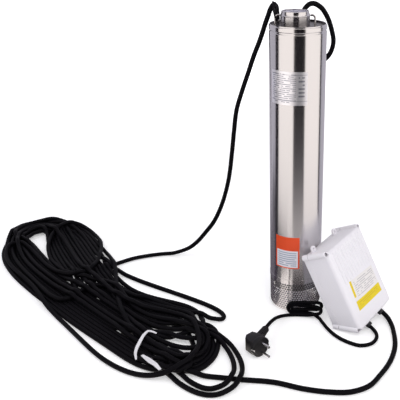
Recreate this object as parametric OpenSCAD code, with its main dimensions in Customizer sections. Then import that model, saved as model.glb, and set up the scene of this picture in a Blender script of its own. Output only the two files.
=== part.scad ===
// Borehole submersible pump with its control box, pump cable and mains lead, in millimetres.
// The foot's centre is the origin, +Z runs up the shaft, -Y is the front of the pump.

/* [Shell] */
// Outer diameter of the pump shell
shell_d = 98; // [95:1:102]
// Wall of the pump shell
shell_wall = 1.5; // [1:0.1:1.8]
// Length of the shell from the strainer to the rim
shell_l = 470; // [460:5:520]
// Distance of the rolled groove below the rim
groove_drop = 11; // [9:0.5:14]
// Depth of the rolled groove
groove_depth = 1; // [0.5:0.1:1.3]
// Height of the rolled groove
groove_w = 4; // [3:0.5:6]
// How far the rim is drawn in at its top
rim_taper = 1; // [0.4:0.1:1.4]

/* [Strainer] */
// Height of the strainer cup
strainer_h = 70; // [66:1:84]
// Wall of the strainer
strainer_wall = 1.2; // [0.8:0.1:1.4]
// Rounding of the strainer's lower edge
strainer_round = 11; // [6:0.5:14]
// Diameter of the strainer holes
hole_d = 3.6; // [2:0.2:3.8]
// Holes around the strainer
hole_cols = 40; // [24:2:44]
// Rows of holes
hole_rows = 6; // [3:1:6]
// Height of the raised joint ring
collar_h = 7; // [4:0.5:9]
// How far the joint ring stands out
collar_t = 0.6; // [0.4:0.1:1]
// Height of the strainer screws below the joint
screw_drop = 15; // [10:0.5:18]
// Diameter of the strainer screws
screw_d = 4; // [3:0.5:5]

/* [Hydraulics] */
// Thickness of the suction plate
suction_t = 8; // [6:0.5:10]
// Height of one pumping stage
stage_pitch = 24; // [23:0.5:26]
// Diameter of the impellers
impeller_d = 76; // [68:1:80]
// Outer diameter of the impeller hubs
hub_d = 24; // [21:0.5:25]
// Outer diameter of the impeller's inlet neck
eye_d = 38; // [35:0.5:40]
// Number of impeller vanes
vane_count = 6; // [4:1:8]

/* [Motor] */
// Diameter of the shaft
shaft_d = 15; // [13:0.5:16]
// Length of the motor can
motor_l = 228; // [215:1:240]
// Outer diameter of the motor can
can_d = 84; // [80:0.5:86]
// Length of the stator
stator_l = 120; // [90:1:126]
// Outer diameter of the rotor
rotor_d = 51; // [44:0.5:54]
// Gap between rotor and stator on each side
air_gap = 0.4; // [0.3:0.05:0.8]
// Outer diameter of both ball bearings
bearing_d = 35; // [32:0.5:37]
// Width of both ball bearings
bearing_w = 11; // [9:0.5:11.5]

/* [Discharge head] */
// Depth of the head's deck below the rim
deck_drop = 3; // [2:0.5:5]
// Diameter of the outlet's threaded bore
outlet_d = 38.95; // [34:0.05:40]
// Length of the outlet's threaded bore
outlet_l = 20; // [16:0.5:22]
// Outer diameter of the outlet neck
neck_d = 50; // [49:0.5:51]
// Height of the neck above the deck
neck_h = 23.5; // [22:0.5:28]
// Outer diameter of the outlet's lip
lip_d = 45; // [43:0.5:45.5]
// Height of the bead around the neck
bead_h = 16; // [14:0.5:17]
// Diameter of the lifting eyes' rod
rod_d = 3.6; // [3:0.1:4]
// Distance of the lifting eyes' legs from the neck's axis
eye_leg_r = 33.5; // [33:0.5:35]
// Distance of the cable gland from the axis
gland_r = 34; // [33.8:0.1:34.6]

/* [Control box] */
// Width of the control box
box_w = 120; // [112:1:126]
// Length of the box at its back
box_l = 147; // [142:1:156]
// Depth of the box
box_d = 59; // [55:0.5:62]
// How much longer the box is at its front
box_slope = 14; // [11:0.5:16]
// Wall of the box
box_wall = 2.5; // [2:0.1:3]
// Depth of the back half
base_d = 14; // [13:0.5:16]
// Diameter of the holes in the ears
ear_hole_d = 4.5; // [3.5:0.1:6]
// Distance between the ear holes
ear_span = 74; // [60:1:80]
// Diameter of the capacitor
capacitor_d = 34; // [28:0.5:36]

/* [Cords] */
// Diameter of the pump cable
cable_d = 9; // [7:0.1:9.2]
// Diameter of the mains lead
lead_d = 7; // [5:0.1:7.4]

/* [Hidden] */
$fn = 64;
cut = 1;
// Clearance of pieces that are pushed together and stay
fit = 0.1;
// Radial clearance of the shaft in its bush and bearings
run_fit = 0.03;
// Clearance of the impellers on the shaft
slip_fit = 0.05;

// Radii and heights of the pump, from the foot upwards
shell_r = shell_d / 2;
bore_r = shell_r - shell_wall;
body_r = bore_r - fit;
shaft_r = shaft_d / 2;
suction_z = strainer_h;
stage_z = suction_z + suction_t;
stage_count = 6;
flange_z = stage_z + stage_count * stage_pitch;
flange_h = 24;
can_z = flange_z + flange_h;
spigot_l = 6;
can_top = can_z - spigot_l + motor_l;
can_wall = 1.2;
can_r = can_d / 2;
can_bore_r = can_r - can_wall;
cap_t = 8;
rib_rise = 8;
rib_turn = 31;
cap_rib_w = 8;
skirt_z = can_top + cap_t + rib_rise;
rim_z = strainer_h + shell_l;
groove_z = rim_z - groove_drop;
deck_z = rim_z - deck_drop;
deck_t = 5;
skirt_t = 5;

// Suction plate
skirt_l = 22;
skirt_wall = 3;
spider_z = strainer_h - 16;
spider_h = 12;
bush_r = shaft_r + 3;
spider_r = bush_r + 2.5;
spider_w = 5;
eye_clear = 0.5;
eye_r = eye_d / 2;
screw_head_r = screw_d * 0.9;
screw_head_h = 1.8;
screw_gap = 0.02;
screw_turn = -147;
screw_l = 7;

// Pumping stages, heights counted from the foot of a stage
hub_r = hub_d / 2;
floor_t = 3;
stage_wall = 2.8;
neck_wall = 2;
shroud_z = 4;
shroud_t = 2;
passage_h = 8;
crown_z = shroud_z + shroud_t + passage_h;
part_z = crown_z + shroud_t + 1;
part_t = 1.5;
part_gap = 2.6;
vane_t = 1.6;
vane_sweep = 70;
guide_count = 7;
guide_sweep = -60;
hub_gap = 0.5;
shaft_foot = 8;

// Seal, bearings and motor
seal_h = 7;
seal_gap = 0.05;
seal_r = shaft_r + 5.5;
seat_r = shaft_r + 7.5;
seat_h = 5;
seat_bore = shaft_r + 0.7;
bearing_r = bearing_d / 2;
notch_r = 4.5;
notch_count = 8;
coil_h = 22;
coil_wall = 3;
stator_r = can_bore_r - fit;
stator_bore = rotor_d / 2 + air_gap;
stator_z = can_z + 6 + coil_h;
boss_wall = 4.5;
boss_h = bearing_w + 3;
cap_web = 2;
shaft_top = can_top - cap_web;
nut_h = 6;
nut_r = 12;

// Discharge head
neck_x = -4.8;
neck_y = -2;
neck_r = neck_d / 2;
neck_top = deck_z + neck_h;
lip_r = lip_d / 2;
bead_r = 1;
bead_out = neck_r + 0.9;
lip_h = 2.5;
lip_slope = 1.5;
ring_d = 2.4;
ring_gap = 0.05;
ring_slack = 0.02;
ring_drop = 14;
passage_r = 17;
deck_turn = 76;
bend_r = 5;
weld_gap = 0.05;
gland_x = gland_r * cos(deck_turn);
gland_y = gland_r * sin(deck_turn);
gland_hex = 9.6;
gland_h = 5;
thread_r = 7;
nut_cap_h = 6;
gland_bore = cable_d / 2 + 0.2;
seal_wall = 1.5;
seal_deep = 2;
inner_lead_r = 3.6;
socket_deep = 4;

// Control box, in its own frame: x along the width, y up the back, z out of the front
lean = 26;
turn = 53;
roll = 5;
box_aside = 22.3;
lean_gap = 0.4;
touch_x = (box_l * sin(roll) - box_aside) / cos(roll);
reach = (touch_x * sin(roll) + box_l * cos(roll)) * sin(lean);
box_out = shell_r + lean_gap + reach;
box_x = box_out * sin(turn) + box_aside * cos(turn);
box_y = box_aside * sin(turn) - box_out * cos(turn);
corner_r = 5;
gasket_t = 1.5;
gasket_in = 0.3;
cover_z = base_d + gasket_t;
ear_r = 6;
ear_t = 3;
ear_rise = 5.5;
post_in = 2;
post_high = 1.4;
post_low = 3;
post_tilt = atan(box_slope / box_d);
column_r = 5.6;
column_in = 0.5;
box_z = (box_w / 2 - post_in + column_r) * sin(roll) * cos(lean) + 0.1;
column_drop = 5;
column_top = box_d - column_drop;
pocket_r = 3.8;
pocket_deep = 5;
box_screw_r = 1.75;
box_head_r = 3.3;
box_head_h = 2.2;
rib_count = 11;
rib_pitch = 9;
rib_w = 3;
rib_h = 1.2;
rib_low = 0.48;
rib_top = 0.96;
gland_u = 23;
gland_deep = 44;
gland_tilt = 40;
ball_r = 8.5;
nozzle_l = 14;
nozzle_r = 6;
capacitor_l = 78;
capacitor_x = -22;
capacitor_y = 46;
cradle_t = 5;
cradle_w = capacitor_d / 1.5;
cradle_h = 9;
capacitor_z = box_wall + 3 + capacitor_d / 2;
block_w = 16;
block_l = 62;
block_h = 15;
block_x = 30;
block_y = 48;
stand_h = 4;
stand_l = 8;
stand_in = 8;

// Cords: the routes run along the middle of each cord
hank_x = -440;
hank_y = 68;
hank_turn = -45;
hank_l = 720;
hank_w = 180;
hank_h = 34;
strap_x = 255;
strap_w = 6;
strap_t = 1.2;
lead_hank_x = 22;
lead_hank_y = -69;
lead_hank_turn = -9.5;
lead_hank_l = 84;
lead_hank_w = 27;
lead_hank_h = 28;
cord_sides = 10;
floor_a = cable_d / 2;
floor_b = lead_d / 2;
upper_route = [
  [gland_x, gland_y, deck_z + 1], [gland_x, gland_y, deck_z + 12], [12, 34, 558], [24, 38, 567],
  [40, 42, 560], [51, 45, 545], [60, 46, 522], [64, 47, 498], [56, 50, 475], [36, 56, 460], [8, 62, 452],
  [-18, 63, 460], [-32, 60, 485], [-34, 55, 520], [-35, 46, 548], [-37, 33, 563], [-41, 21, 567],
  [-46, 13, 561], [-50, 12, 550], [-54.5, 14, 538], [-60, 18, 521], [-66, 22, 504], [-74, 28, 484],
  [-87, 41, 446], [-99, 52, 411], [-111, 63, 371],
  [-117, 69, 330], [-122, 73, 289], [-132, 82, 223], [-146, 95, 171], [-168, 116, 117],
  [-189, 136, 82], [-211, 156, 49], [-238, 178, 20], [-268, 186, 6], [-320, 177, floor_a],
  [-359, 160, floor_a], [-388, 136, floor_a]
];
lower_route = [
  [-206, -188, floor_a], [-182, -222, floor_a], [-140, -246, floor_a], [-95, -253, floor_a],
  [-40, -260, floor_a], [11, -277, floor_a], [48, -284, floor_a], [83, -284, floor_a], [114, -270, floor_a],
  [137, -241, floor_a], [160, -202, floor_a], [174, -160, floor_a], [178, -120, floor_a],
  [177, -90, 5], [172, -72, 7.5], [164, -62, 11.5], [158, -58, 14.6]
];
plug_route = [
  [-57.6, -130, 18.5], [-50, -112, 17.6], [-42, -96, 14], [-33, -80, 10], [-24, -69, 9], [-14, -64, 9]
];
box_route = [
  [48, -78, 10], [52, -90, 6], [58, -106, floor_b], [71, -128, floor_b], [92, -148, floor_b],
  [113, -158, floor_b], [132, -154, floor_b], [144, -138, floor_b], [147, -120, floor_b], [142, -108, 4.8],
  [134, -102, 8.3], [128, -98, 11.4]
];

// Mains plug, in its own frame: x along the pins, y towards the lead
plug_x = -61.7;
plug_y = -184.4;
plug_turn = -45.5;
plug_r = 18.5;
face_t = 9;
pin_r = 2.4;
pin_l = 19;
pin_span = 19;
pin_deep = 7;
grip_h = 26;
grip_end = 34;
clip_w = 5;
clip_deep = 2.6;
clip_t = 0.8;
clip_rise = 0.4;
relief_x = -24;
relief_y = 13;
relief_turn = 21.5;
relief_l = 33;
relief_r = 8;
relief_tip = 5.6;
relief_ribs = 5;

// Points of an arc in the r-z plane
function arc(x, z, r, from, to, steps) =
  [for (i = [0:steps]) let(a = from + (to - from) * i / steps) [x + r * cos(a), z + r * sin(a)]];

// Points of the rolled groove on a wall of radius r, upwards
function groove(r, deep, w) =
  [for (a = [0:30:180]) [r - deep * sin(a), groove_z - w / 2 * cos(a)]];

// Points of one side of a swept vane
function vane_side(r0, r1, sweep, shift) =
  [for (i = [0:6])
    let(r = r0 + (r1 - r0) * i / 6, a = sweep * i / 6)
    [r * cos(a) - shift * sin(a), r * sin(a) + shift * cos(a)]];

function reversed(list) = [for (i = [len(list) - 1:-1:0]) list[i]];

// Sweep of a round cord: each ring carries the last ring's direction on, so the tube never twists
function unit(v) = v / norm(v);
function heading(p, i) = unit(p[min(i + 1, len(p) - 1)] - p[max(i - 1, 0)]);
function carried(n, t) = unit(n - (n * t) * t);
function sides_of(p, n, i = 0) =
  i == len(p) ? [] : let(m = carried(n, heading(p, i))) concat([m], sides_of(p, m, i + 1));

module cord(p, d) {
  side = sides_of(p, [0.6, 0.8, 0.02]);
  rings = [
    for (i = [0:len(p) - 1], k = [0:cord_sides - 1])
    let(a = 360 * k / cord_sides)
    p[i] + d / 2 * (cos(a) * side[i] + sin(a) * cross(heading(p, i), side[i]))
  ];
  skin = [
    for (i = [0:len(p) - 2], k = [0:cord_sides - 1])
    let(a = i * cord_sides, b = a + cord_sides, n = (k + 1) % cord_sides)
    [a + k, b + k, b + n, a + n]
  ];
  first = [for (k = [0:cord_sides - 1]) k];
  last = [for (k = [cord_sides - 1:-1:0]) (len(p) - 1) * cord_sides + k];
  polyhedron(rings, concat([first], skin, [last]));
}

module ring(r_in, r_out, z, h) {
  translate([0, 0, z])
    difference() {
      cylinder(r = r_out, h = h);
      translate([0, 0, -cut]) cylinder(r = r_in, h = h + 2 * cut);
    }
}

// Body of one of the cords' hanks: a bar with round ends, lying on the floor
module hank(l, w, h) {
  linear_extrude(h) {
    square([l - w, w], center = true);
    for (s = [-1, 1]) translate([s * (l - w) / 2, 0]) circle(d = w);
  }
}

module strainer() {
  r_in = shell_r - strainer_wall;
  lip_r = shell_r + fit;
  out_r = shell_r + collar_t;
  hole_low = strainer_round + 3;
  hole_step = (strainer_h - skirt_l - hole_low - 1) / hole_rows;
  color("silver")
    difference() {
      rotate_extrude() polygon(concat(
        [[0, 0]],
        arc(shell_r - strainer_round, strainer_round, strainer_round, -90, 0, 6),
        [[shell_r, strainer_h - collar_h], [out_r, strainer_h - collar_h + 1], [out_r, strainer_h + 2],
         [lip_r, strainer_h + 2], [lip_r, strainer_h], [r_in, strainer_h]],
        arc(shell_r - strainer_round, strainer_round, strainer_round - strainer_wall, 0, -90, 6),
        [[0, strainer_wall]]
      ));
      for (j = [0:hole_rows - 1], i = [0:hole_cols - 1])
        rotate([0, 0, 360 * (i + (j % 2) / 2) / hole_cols])
          translate([r_in - cut, 0, hole_low + hole_step * (j + 0.5)])
            rotate([0, 90, 0]) cylinder(d = hole_d, h = strainer_wall + 2 * cut, $fn = 6);
      for (a = [0:120:240])
        rotate([0, 0, screw_turn + a])
          translate([r_in - cut, 0, strainer_h - screw_drop])
            rotate([0, 90, 0]) cylinder(d = screw_d + 2 * fit, h = strainer_wall + 2 * cut);
    }
}

module strainer_screws() {
  color("gainsboro")
    for (a = [0:120:240])
      rotate([0, 0, screw_turn + a])
        translate([shell_r + screw_gap, 0, strainer_h - screw_drop])
          rotate([0, 90, 0]) {
            cylinder(r = screw_head_r, h = screw_head_h);
            translate([0, 0, -screw_l]) cylinder(d = screw_d, h = screw_l);
          }
}

module outer_shell() {
  color("silver")
    rotate_extrude() polygon(concat(
      [[bore_r, strainer_h], [shell_r, strainer_h]],
      groove(shell_r, groove_depth, groove_w),
      [[shell_r, rim_z - 4], [shell_r - rim_taper, rim_z], [bore_r - rim_taper, rim_z],
       [bore_r, rim_z - deck_drop]],
      reversed(groove(bore_r, groove_depth, groove_w))
    ));
}

module suction_plate() {
  low = suction_z - skirt_l;
  color("dimgray")
    difference() {
      union() {
        ring(eye_r + eye_clear, body_r, suction_z, suction_t);
        ring(body_r - skirt_wall, body_r, low, skirt_l + cut);
        ring(bush_r + fit, spider_r, spider_z, spider_h);
        for (a = [0:120:240])
          rotate([0, 0, screw_turn + 60 + a])
            translate([spider_r - 1, -spider_w / 2, spider_z])
              cube([body_r - skirt_wall - spider_r + 2, spider_w, spider_h]);
      }
      for (a = [0:120:240])
        rotate([0, 0, screw_turn + a])
          translate([body_r - skirt_wall - cut, 0, strainer_h - screw_drop])
            rotate([0, 90, 0]) cylinder(d = screw_d + fit, h = skirt_wall + 2 * cut);
    }
}

module bottom_bush() {
  color("darkgoldenrod") ring(shaft_r + run_fit, bush_r, spider_z, spider_h);
}

module vane(r0, r1, sweep, h) {
  linear_extrude(h)
    polygon(concat(vane_side(r0, r1, sweep, vane_t / 2), reversed(vane_side(r0, r1, sweep, -vane_t / 2))));
}

module diffuser(i) {
  wall_r = body_r - stage_wall;
  color("lightgray")
    translate([0, 0, stage_z + (i - 1) * stage_pitch]) {
      ring(wall_r, body_r, 0, stage_pitch);
      ring(eye_r + eye_clear, body_r - cut, 0, floor_t);
      ring(hub_r + hub_gap, wall_r - part_gap, part_z, part_t);
      for (k = [0:guide_count - 1])
        rotate([0, 0, 360 * k / guide_count])
          translate([0, 0, part_z + part_t - 0.5])
            vane(eye_r, wall_r + 0.5, guide_sweep, stage_pitch - part_z - part_t + 0.5);
    }
}

module impeller(i) {
  r = impeller_d / 2;
  color("navajowhite")
    translate([0, 0, stage_z + (i - 1) * stage_pitch]) {
      ring(shaft_r + slip_fit, hub_r, 0, stage_pitch);
      ring(hub_r - cut, r, crown_z, shroud_t);
      ring(eye_r - neck_wall, r, shroud_z, shroud_t);
      ring(eye_r - neck_wall, eye_r, hub_gap, shroud_z - hub_gap + cut);
      for (k = [0:vane_count - 1])
        rotate([0, 0, 360 * k / vane_count])
          translate([0, 0, shroud_z + shroud_t - 0.5])
            vane(eye_r - neck_wall, r - 0.5, vane_sweep, passage_h + 1);
    }
}

module motor_flange() {
  seat_z = flange_z + seal_h;
  bearing_z = can_z - bearing_w;
  color("dimgray")
    difference() {
      union() {
        translate([0, 0, flange_z]) cylinder(r = body_r, h = flange_h - spigot_l);
        translate([0, 0, flange_z]) cylinder(r = can_bore_r - fit, h = flange_h);
      }
      translate([0, 0, flange_z - cut]) cylinder(r = seat_r + fit, h = seal_h + seat_h + cut);
      translate([0, 0, seat_z]) cylinder(r = seat_bore + 1, h = flange_h);
      translate([0, 0, bearing_z]) cylinder(r = bearing_r + fit, h = bearing_w + cut);
      for (k = [0:notch_count - 1])
        rotate([0, 0, 360 * k / notch_count])
          translate([body_r, 0, flange_z - cut]) cylinder(r = notch_r, h = flange_h + cut);
    }
}

module seal_seat() {
  color("dimgray") ring(seat_bore, seat_r, flange_z + seal_h, seat_h);
}

module seal_ring() {
  color("black") ring(shaft_r + slip_fit, seal_r, flange_z, seal_h - seal_gap);
}

module bearing(z) {
  color("lightsteelblue") ring(shaft_r + run_fit, bearing_r, z, bearing_w);
}

module lower_bearing() {
  bearing(can_z - bearing_w);
}

module upper_bearing() {
  bearing(can_top - bearing_w - cap_web);
}

module motor_can() {
  color("lightgray") ring(can_bore_r, can_r, can_z - spigot_l, motor_l);
}

module stator() {
  color("slategray") ring(stator_bore, stator_r, stator_z, stator_l);
}

module winding(z) {
  color("peru") ring(stator_bore + coil_wall, stator_r - coil_wall, z, coil_h);
}

module winding_lower() {
  winding(stator_z - coil_h);
}

module winding_upper() {
  winding(stator_z + stator_l);
}

module rotor_core() {
  color("gray") ring(shaft_r + slip_fit, rotor_d / 2, stator_z, stator_l);
}

module shaft() {
  color("silver")
    translate([0, 0, spider_z - shaft_foot]) cylinder(r = shaft_r, h = shaft_top - spider_z + shaft_foot);
}

module shaft_nut() {
  color("gainsboro")
    translate([0, 0, stage_z - nut_h])
      difference() {
        cylinder(r = nut_r, h = nut_h, $fn = 6);
        translate([0, 0, -cut]) cylinder(r = shaft_r + slip_fit, h = nut_h + 2 * cut);
      }
}

module motor_cap() {
  pocket_z = can_top - bearing_w - cap_web;
  color("dimgray")
    difference() {
      union() {
        translate([0, 0, can_top]) cylinder(r = can_r, h = cap_t);
        translate([0, 0, can_top - spigot_l]) cylinder(r = can_bore_r - fit, h = spigot_l + cut);
        translate([0, 0, pocket_z]) cylinder(r = bearing_r + boss_wall, h = boss_h);
        for (k = [0:3])
          rotate([0, 0, 90 * k + rib_turn])
            intersection() {
              translate([can_r - cap_rib_w / 2, -cap_rib_w / 2, can_top])
                cube([bore_r - can_r + cap_rib_w, cap_rib_w, cap_t + rib_rise]);
              cylinder(r = body_r, h = rim_z);
            }
      }
      ring(bearing_r + boss_wall, can_bore_r - can_wall - 2, pocket_z - cut, bearing_w + cap_web - 1 + cut);
      translate([0, 0, pocket_z - cut]) cylinder(r = bearing_r + fit, h = bearing_w + cut);
      translate([0, 0, pocket_z - cut]) cylinder(r = shaft_r + 1, h = bearing_w + cap_web + cut);
      translate([gland_x, gland_y, can_top + cap_t - socket_deep])
        cylinder(r = inner_lead_r + fit, h = socket_deep + cut);
    }
}

module at_neck() {
  translate([neck_x, neck_y, 0]) children();
}

module discharge_head() {
  ring_z = groove_z - ring_drop;
  floor_r = body_r - skirt_t;
  bead_z = deck_z + bead_h;
  color("gainsboro")
    difference() {
      union() {
        rotate_extrude() polygon(concat(
          [[floor_r, skirt_z], [body_r, skirt_z], [body_r, ring_z - ring_d / 2],
           [body_r - ring_d, ring_z - ring_d / 2], [body_r - ring_d, ring_z + ring_d / 2],
           [body_r, ring_z + ring_d / 2]],
          groove(body_r, groove_depth + fit, groove_w + 2 * fit),
          [[body_r, deck_z], [0, deck_z], [0, deck_z - deck_t], [floor_r, deck_z - deck_t]]
        ));
        at_neck() rotate_extrude() polygon([
          [0, deck_z - cut], [neck_r, deck_z - cut], [neck_r, bead_z + bead_r],
          [lip_r + lip_slope, neck_top - lip_h], [lip_r, neck_top], [0, neck_top]
        ]);
        at_neck() rotate_extrude() translate([bead_out - bead_r, bead_z]) circle(r = bead_r, $fn = 24);
      }
      at_neck() translate([0, 0, deck_z - deck_t - cut]) cylinder(r = passage_r, h = deck_t + neck_h);
      at_neck() translate([0, 0, neck_top - outlet_l]) cylinder(d = outlet_d, h = outlet_l + cut);
      translate([gland_x, gland_y, deck_z - deck_t - cut]) cylinder(r = thread_r + fit, h = deck_t + 2 * cut);
    }
}

module head_o_ring() {
  wire_r = ring_d / 2 - ring_slack;
  color("black")
    rotate_extrude()
      translate([bore_r - ring_gap - wire_r, groove_z - ring_drop]) circle(r = wire_r, $fn = 24);
}

// One lifting eye: a rod from the neck's bead outwards, bent down onto the deck
module eyelet(a) {
  from = bead_out + weld_gap;
  color("gainsboro")
    at_neck()
      rotate([0, 0, a])
        translate([0, 0, deck_z]) {
          translate([from, 0, bead_h])
            rotate([0, 90, 0]) cylinder(d = rod_d, h = eye_leg_r - bend_r - from, $fn = 24);
          translate([eye_leg_r - bend_r, 0, bead_h - bend_r])
            rotate([90, 0, 0]) rotate_extrude(angle = 90) translate([bend_r, 0]) circle(d = rod_d, $fn = 24);
          translate([eye_leg_r, 0, 0]) cylinder(d = rod_d, h = bead_h - bend_r, $fn = 24);
        }
}

module eyelet_left() {
  eyelet(180);
}

module eyelet_right() {
  eyelet(0);
}

module gland_body() {
  color("dimgray")
    translate([gland_x, gland_y, deck_z])
      difference() {
        union() {
          cylinder(r = gland_hex, h = gland_h, $fn = 6);
          translate([0, 0, -deck_t]) cylinder(r = thread_r, h = deck_t);
        }
        translate([0, 0, -deck_t - cut]) cylinder(r = gland_bore, h = deck_t + gland_h + 2 * cut);
        translate([0, 0, gland_h - seal_deep])
          cylinder(r = gland_bore + seal_wall + fit, h = seal_deep + cut);
      }
}

module gland_seal() {
  color("black")
    translate([gland_x, gland_y, 0])
      ring(gland_bore, gland_bore + seal_wall, deck_z + gland_h - seal_deep, seal_deep);
}

module gland_nut() {
  color("dimgray")
    translate([gland_x, gland_y, deck_z + gland_h])
      rotate_extrude() polygon([
        [gland_bore, 0], [gland_hex - 1.4, 0], [gland_hex - 1.4, nut_cap_h - 2],
        [gland_hex - 3, nut_cap_h], [gland_bore, nut_cap_h]
      ]);
}

module inner_lead() {
  low = can_top + cap_t - socket_deep;
  color("black")
    translate([gland_x, gland_y, low]) cylinder(r = inner_lead_r, h = deck_z + 1 - low);
}

module box_place() {
  translate([box_x, box_y, box_z])
    rotate([0, 0, turn]) rotate([90 - lean, 0, 0]) rotate([0, 0, roll]) children();
}

// Outline of the box, drawn in by an inset, between two depths
module box_form(inset, from, to) {
  w = box_w / 2 - inset;
  r = corner_r - min(inset, corner_r - 1);
  intersection() {
    translate([0, 0, from])
      linear_extrude(to - from) {
        translate([-w + r, -box_slope]) square([2 * (w - r), box_l + box_slope - inset]);
        translate([-w, -box_slope]) square([2 * w, box_l + box_slope - inset - r]);
        for (s = [-1, 1]) translate([s * (w - r), box_l - inset - r]) circle(r = r);
      }
    translate([-box_w, 0, 0])
      rotate([90, 0, 90])
        linear_extrude(2 * box_w)
          polygon([
            [inset, 0], [box_l + cut, 0], [box_l + cut, box_d],
            [inset - box_slope, box_d]
          ]);
  }
}

// The four screw columns: the upper two stand on the back, the lower two follow the sloping wall
module at_posts() {
  for (s = [-1, 1]) {
    translate([s * (box_w / 2 - post_in), box_l - post_high, 0]) children();
    translate([s * (box_w / 2 - post_in), post_low, 0]) rotate([post_tilt, 0, 0]) children();
  }
}

// Columns of a radius between two depths, cut off above a line that runs down to the front
module columns(r, from, to, low) {
  intersection() {
    at_posts() translate([0, 0, -box_d]) cylinder(r = r, h = 3 * box_d);
    translate([-box_w, 0, 0])
      rotate([90, 0, 90])
        linear_extrude(2 * box_w)
          polygon([
            [low - box_slope * from / box_d, from], [2 * box_l, from], [2 * box_l, to],
            [low - box_slope * to / box_d, to]
          ]);
  }
}

module box_base() {
  color("whitesmoke")
    box_place()
      difference() {
        union() {
          difference() {
            box_form(0, 0, base_d);
            box_form(box_wall, box_wall, base_d + cut);
          }
          columns(column_r, 0, base_d, column_in);
          for (s = [-1, 1])
            translate([s * ear_span / 2, box_l + ear_rise, base_d - ear_t]) {
              cylinder(r = ear_r, h = ear_t);
              translate([-ear_r, -ear_rise - 1, 0]) cube([2 * ear_r, ear_rise + 1, ear_t]);
            }
          for (y = [0.15, 0.75])
            translate([capacitor_x - cradle_w / 2, capacitor_y + y * capacitor_l, box_wall - 1])
              cube([cradle_w, cradle_t, cradle_h]);
          for (y = [stand_in, block_l - stand_in])
            translate([block_x - block_w / 2, block_y + y - stand_l / 2, box_wall - 1])
              cube([block_w, stand_l, stand_h + 1]);
        }
        at_posts() translate([0, 0, box_wall]) cylinder(r = box_screw_r + fit, h = 2 * base_d);
        for (s = [-1, 1])
          translate([s * ear_span / 2, box_l + ear_rise, base_d - ear_t - cut])
            cylinder(d = ear_hole_d, h = ear_t + 2 * cut);
        translate([capacitor_x, capacitor_y - cut, capacitor_z])
          rotate([-90, 0, 0]) cylinder(d = capacitor_d + fit, h = capacitor_l + 2 * cut);
      }
}

// Ball and nozzle of a cable gland in the box's lower wall, grown by a clearance
module box_gland(s, grow) {
  translate([s * gland_u, -box_slope * gland_deep / box_d, gland_deep])
    rotate([90 - gland_tilt, 0, 0]) {
      sphere(r = ball_r + grow);
      cylinder(r = nozzle_r + grow, h = nozzle_l);
    }
}

module box_cover() {
  color("whitesmoke")
    box_place()
      difference() {
        union() {
          difference() {
            box_form(0, cover_z, box_d);
            box_form(box_wall, cover_z - cut, box_d - box_wall);
          }
          columns(column_r, cover_z, column_top, -column_r);
          for (k = [0:rib_count - 1])
            translate([(k - (rib_count - 1) / 2) * rib_pitch - rib_w / 2, box_l * rib_low, box_d - 1])
              cube([rib_w, box_l * (rib_top - rib_low), rib_h + 1]);
        }
        at_posts() translate([0, 0, column_top - pocket_deep]) cylinder(r = pocket_r, h = box_d);
        at_posts() cylinder(r = box_screw_r + fit, h = box_d);
        for (s = [-1, 1]) box_gland(s, fit);
      }
}

module cover_gasket() {
  color("dimgray")
    box_place()
      difference() {
        union() {
          difference() {
            box_form(gasket_in, base_d, cover_z);
            box_form(box_wall - gasket_in, base_d - cut, cover_z + cut);
          }
          columns(column_r - gasket_in, base_d, cover_z, gasket_in + column_in);
        }
        at_posts() cylinder(r = box_screw_r + fit, h = box_d);
      }
}

module cover_screws() {
  color("silver")
    box_place()
      at_posts() {
        translate([0, 0, box_wall + cut]) cylinder(r = box_screw_r, h = column_top - pocket_deep - box_wall);
        translate([0, 0, column_top - pocket_deep]) cylinder(r = box_head_r, h = box_head_h);
      }
}

module capacitor() {
  color("lightgray")
    box_place()
      translate([capacitor_x, capacitor_y, capacitor_z])
        rotate([-90, 0, 0]) cylinder(d = capacitor_d, h = capacitor_l);
}

module terminal_block() {
  color("ivory")
    box_place()
      translate([block_x - block_w / 2, block_y, box_wall + stand_h]) cube([block_w, block_l, block_h]);
}

module box_gland_pump() {
  color("dimgray") box_place() box_gland(1, 0);
}

module box_gland_mains() {
  color("dimgray") box_place() box_gland(-1, 0);
}

module cable_upper() {
  color("black") cord(upper_route, cable_d);
}

module cable_lower() {
  color("black") cord(lower_route, cable_d);
}

module cable_hank() {
  color("black") translate([hank_x, hank_y, 0]) rotate([0, 0, hank_turn]) hank(hank_l, hank_w, hank_h);
}

// Strap over the pump cable's hank, down to the floor on both sides
module hank_tie() {
  color("white")
    translate([hank_x, hank_y, 0])
      rotate([0, 0, hank_turn])
        translate([strap_x, 0, 0])
          difference() {
            translate([0, -hank_w / 2 - strap_t, 0]) cube([strap_w, hank_w + 2 * strap_t, hank_h + strap_t]);
            translate([-cut, -hank_w / 2, -cut]) cube([strap_w + 2 * cut, hank_w, hank_h + cut]);
          }
}

module lead_plug_side() {
  color("black") cord(plug_route, lead_d);
}

module lead_box_side() {
  color("black") cord(box_route, lead_d);
}

module lead_hank() {
  color("black")
    translate([lead_hank_x, lead_hank_y, 0])
      rotate([0, 0, lead_hank_turn]) hank(lead_hank_l, lead_hank_w, lead_hank_h);
}

module plug_place() {
  translate([plug_x, plug_y, plug_r]) rotate([0, 0, plug_turn]) children();
}

// Place of the bend protector in the plug's frame, z along the lead
module relief_place() {
  translate([relief_x, relief_y, 0]) rotate([0, 0, relief_turn]) rotate([-90, 0, 0]) children();
}

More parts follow.
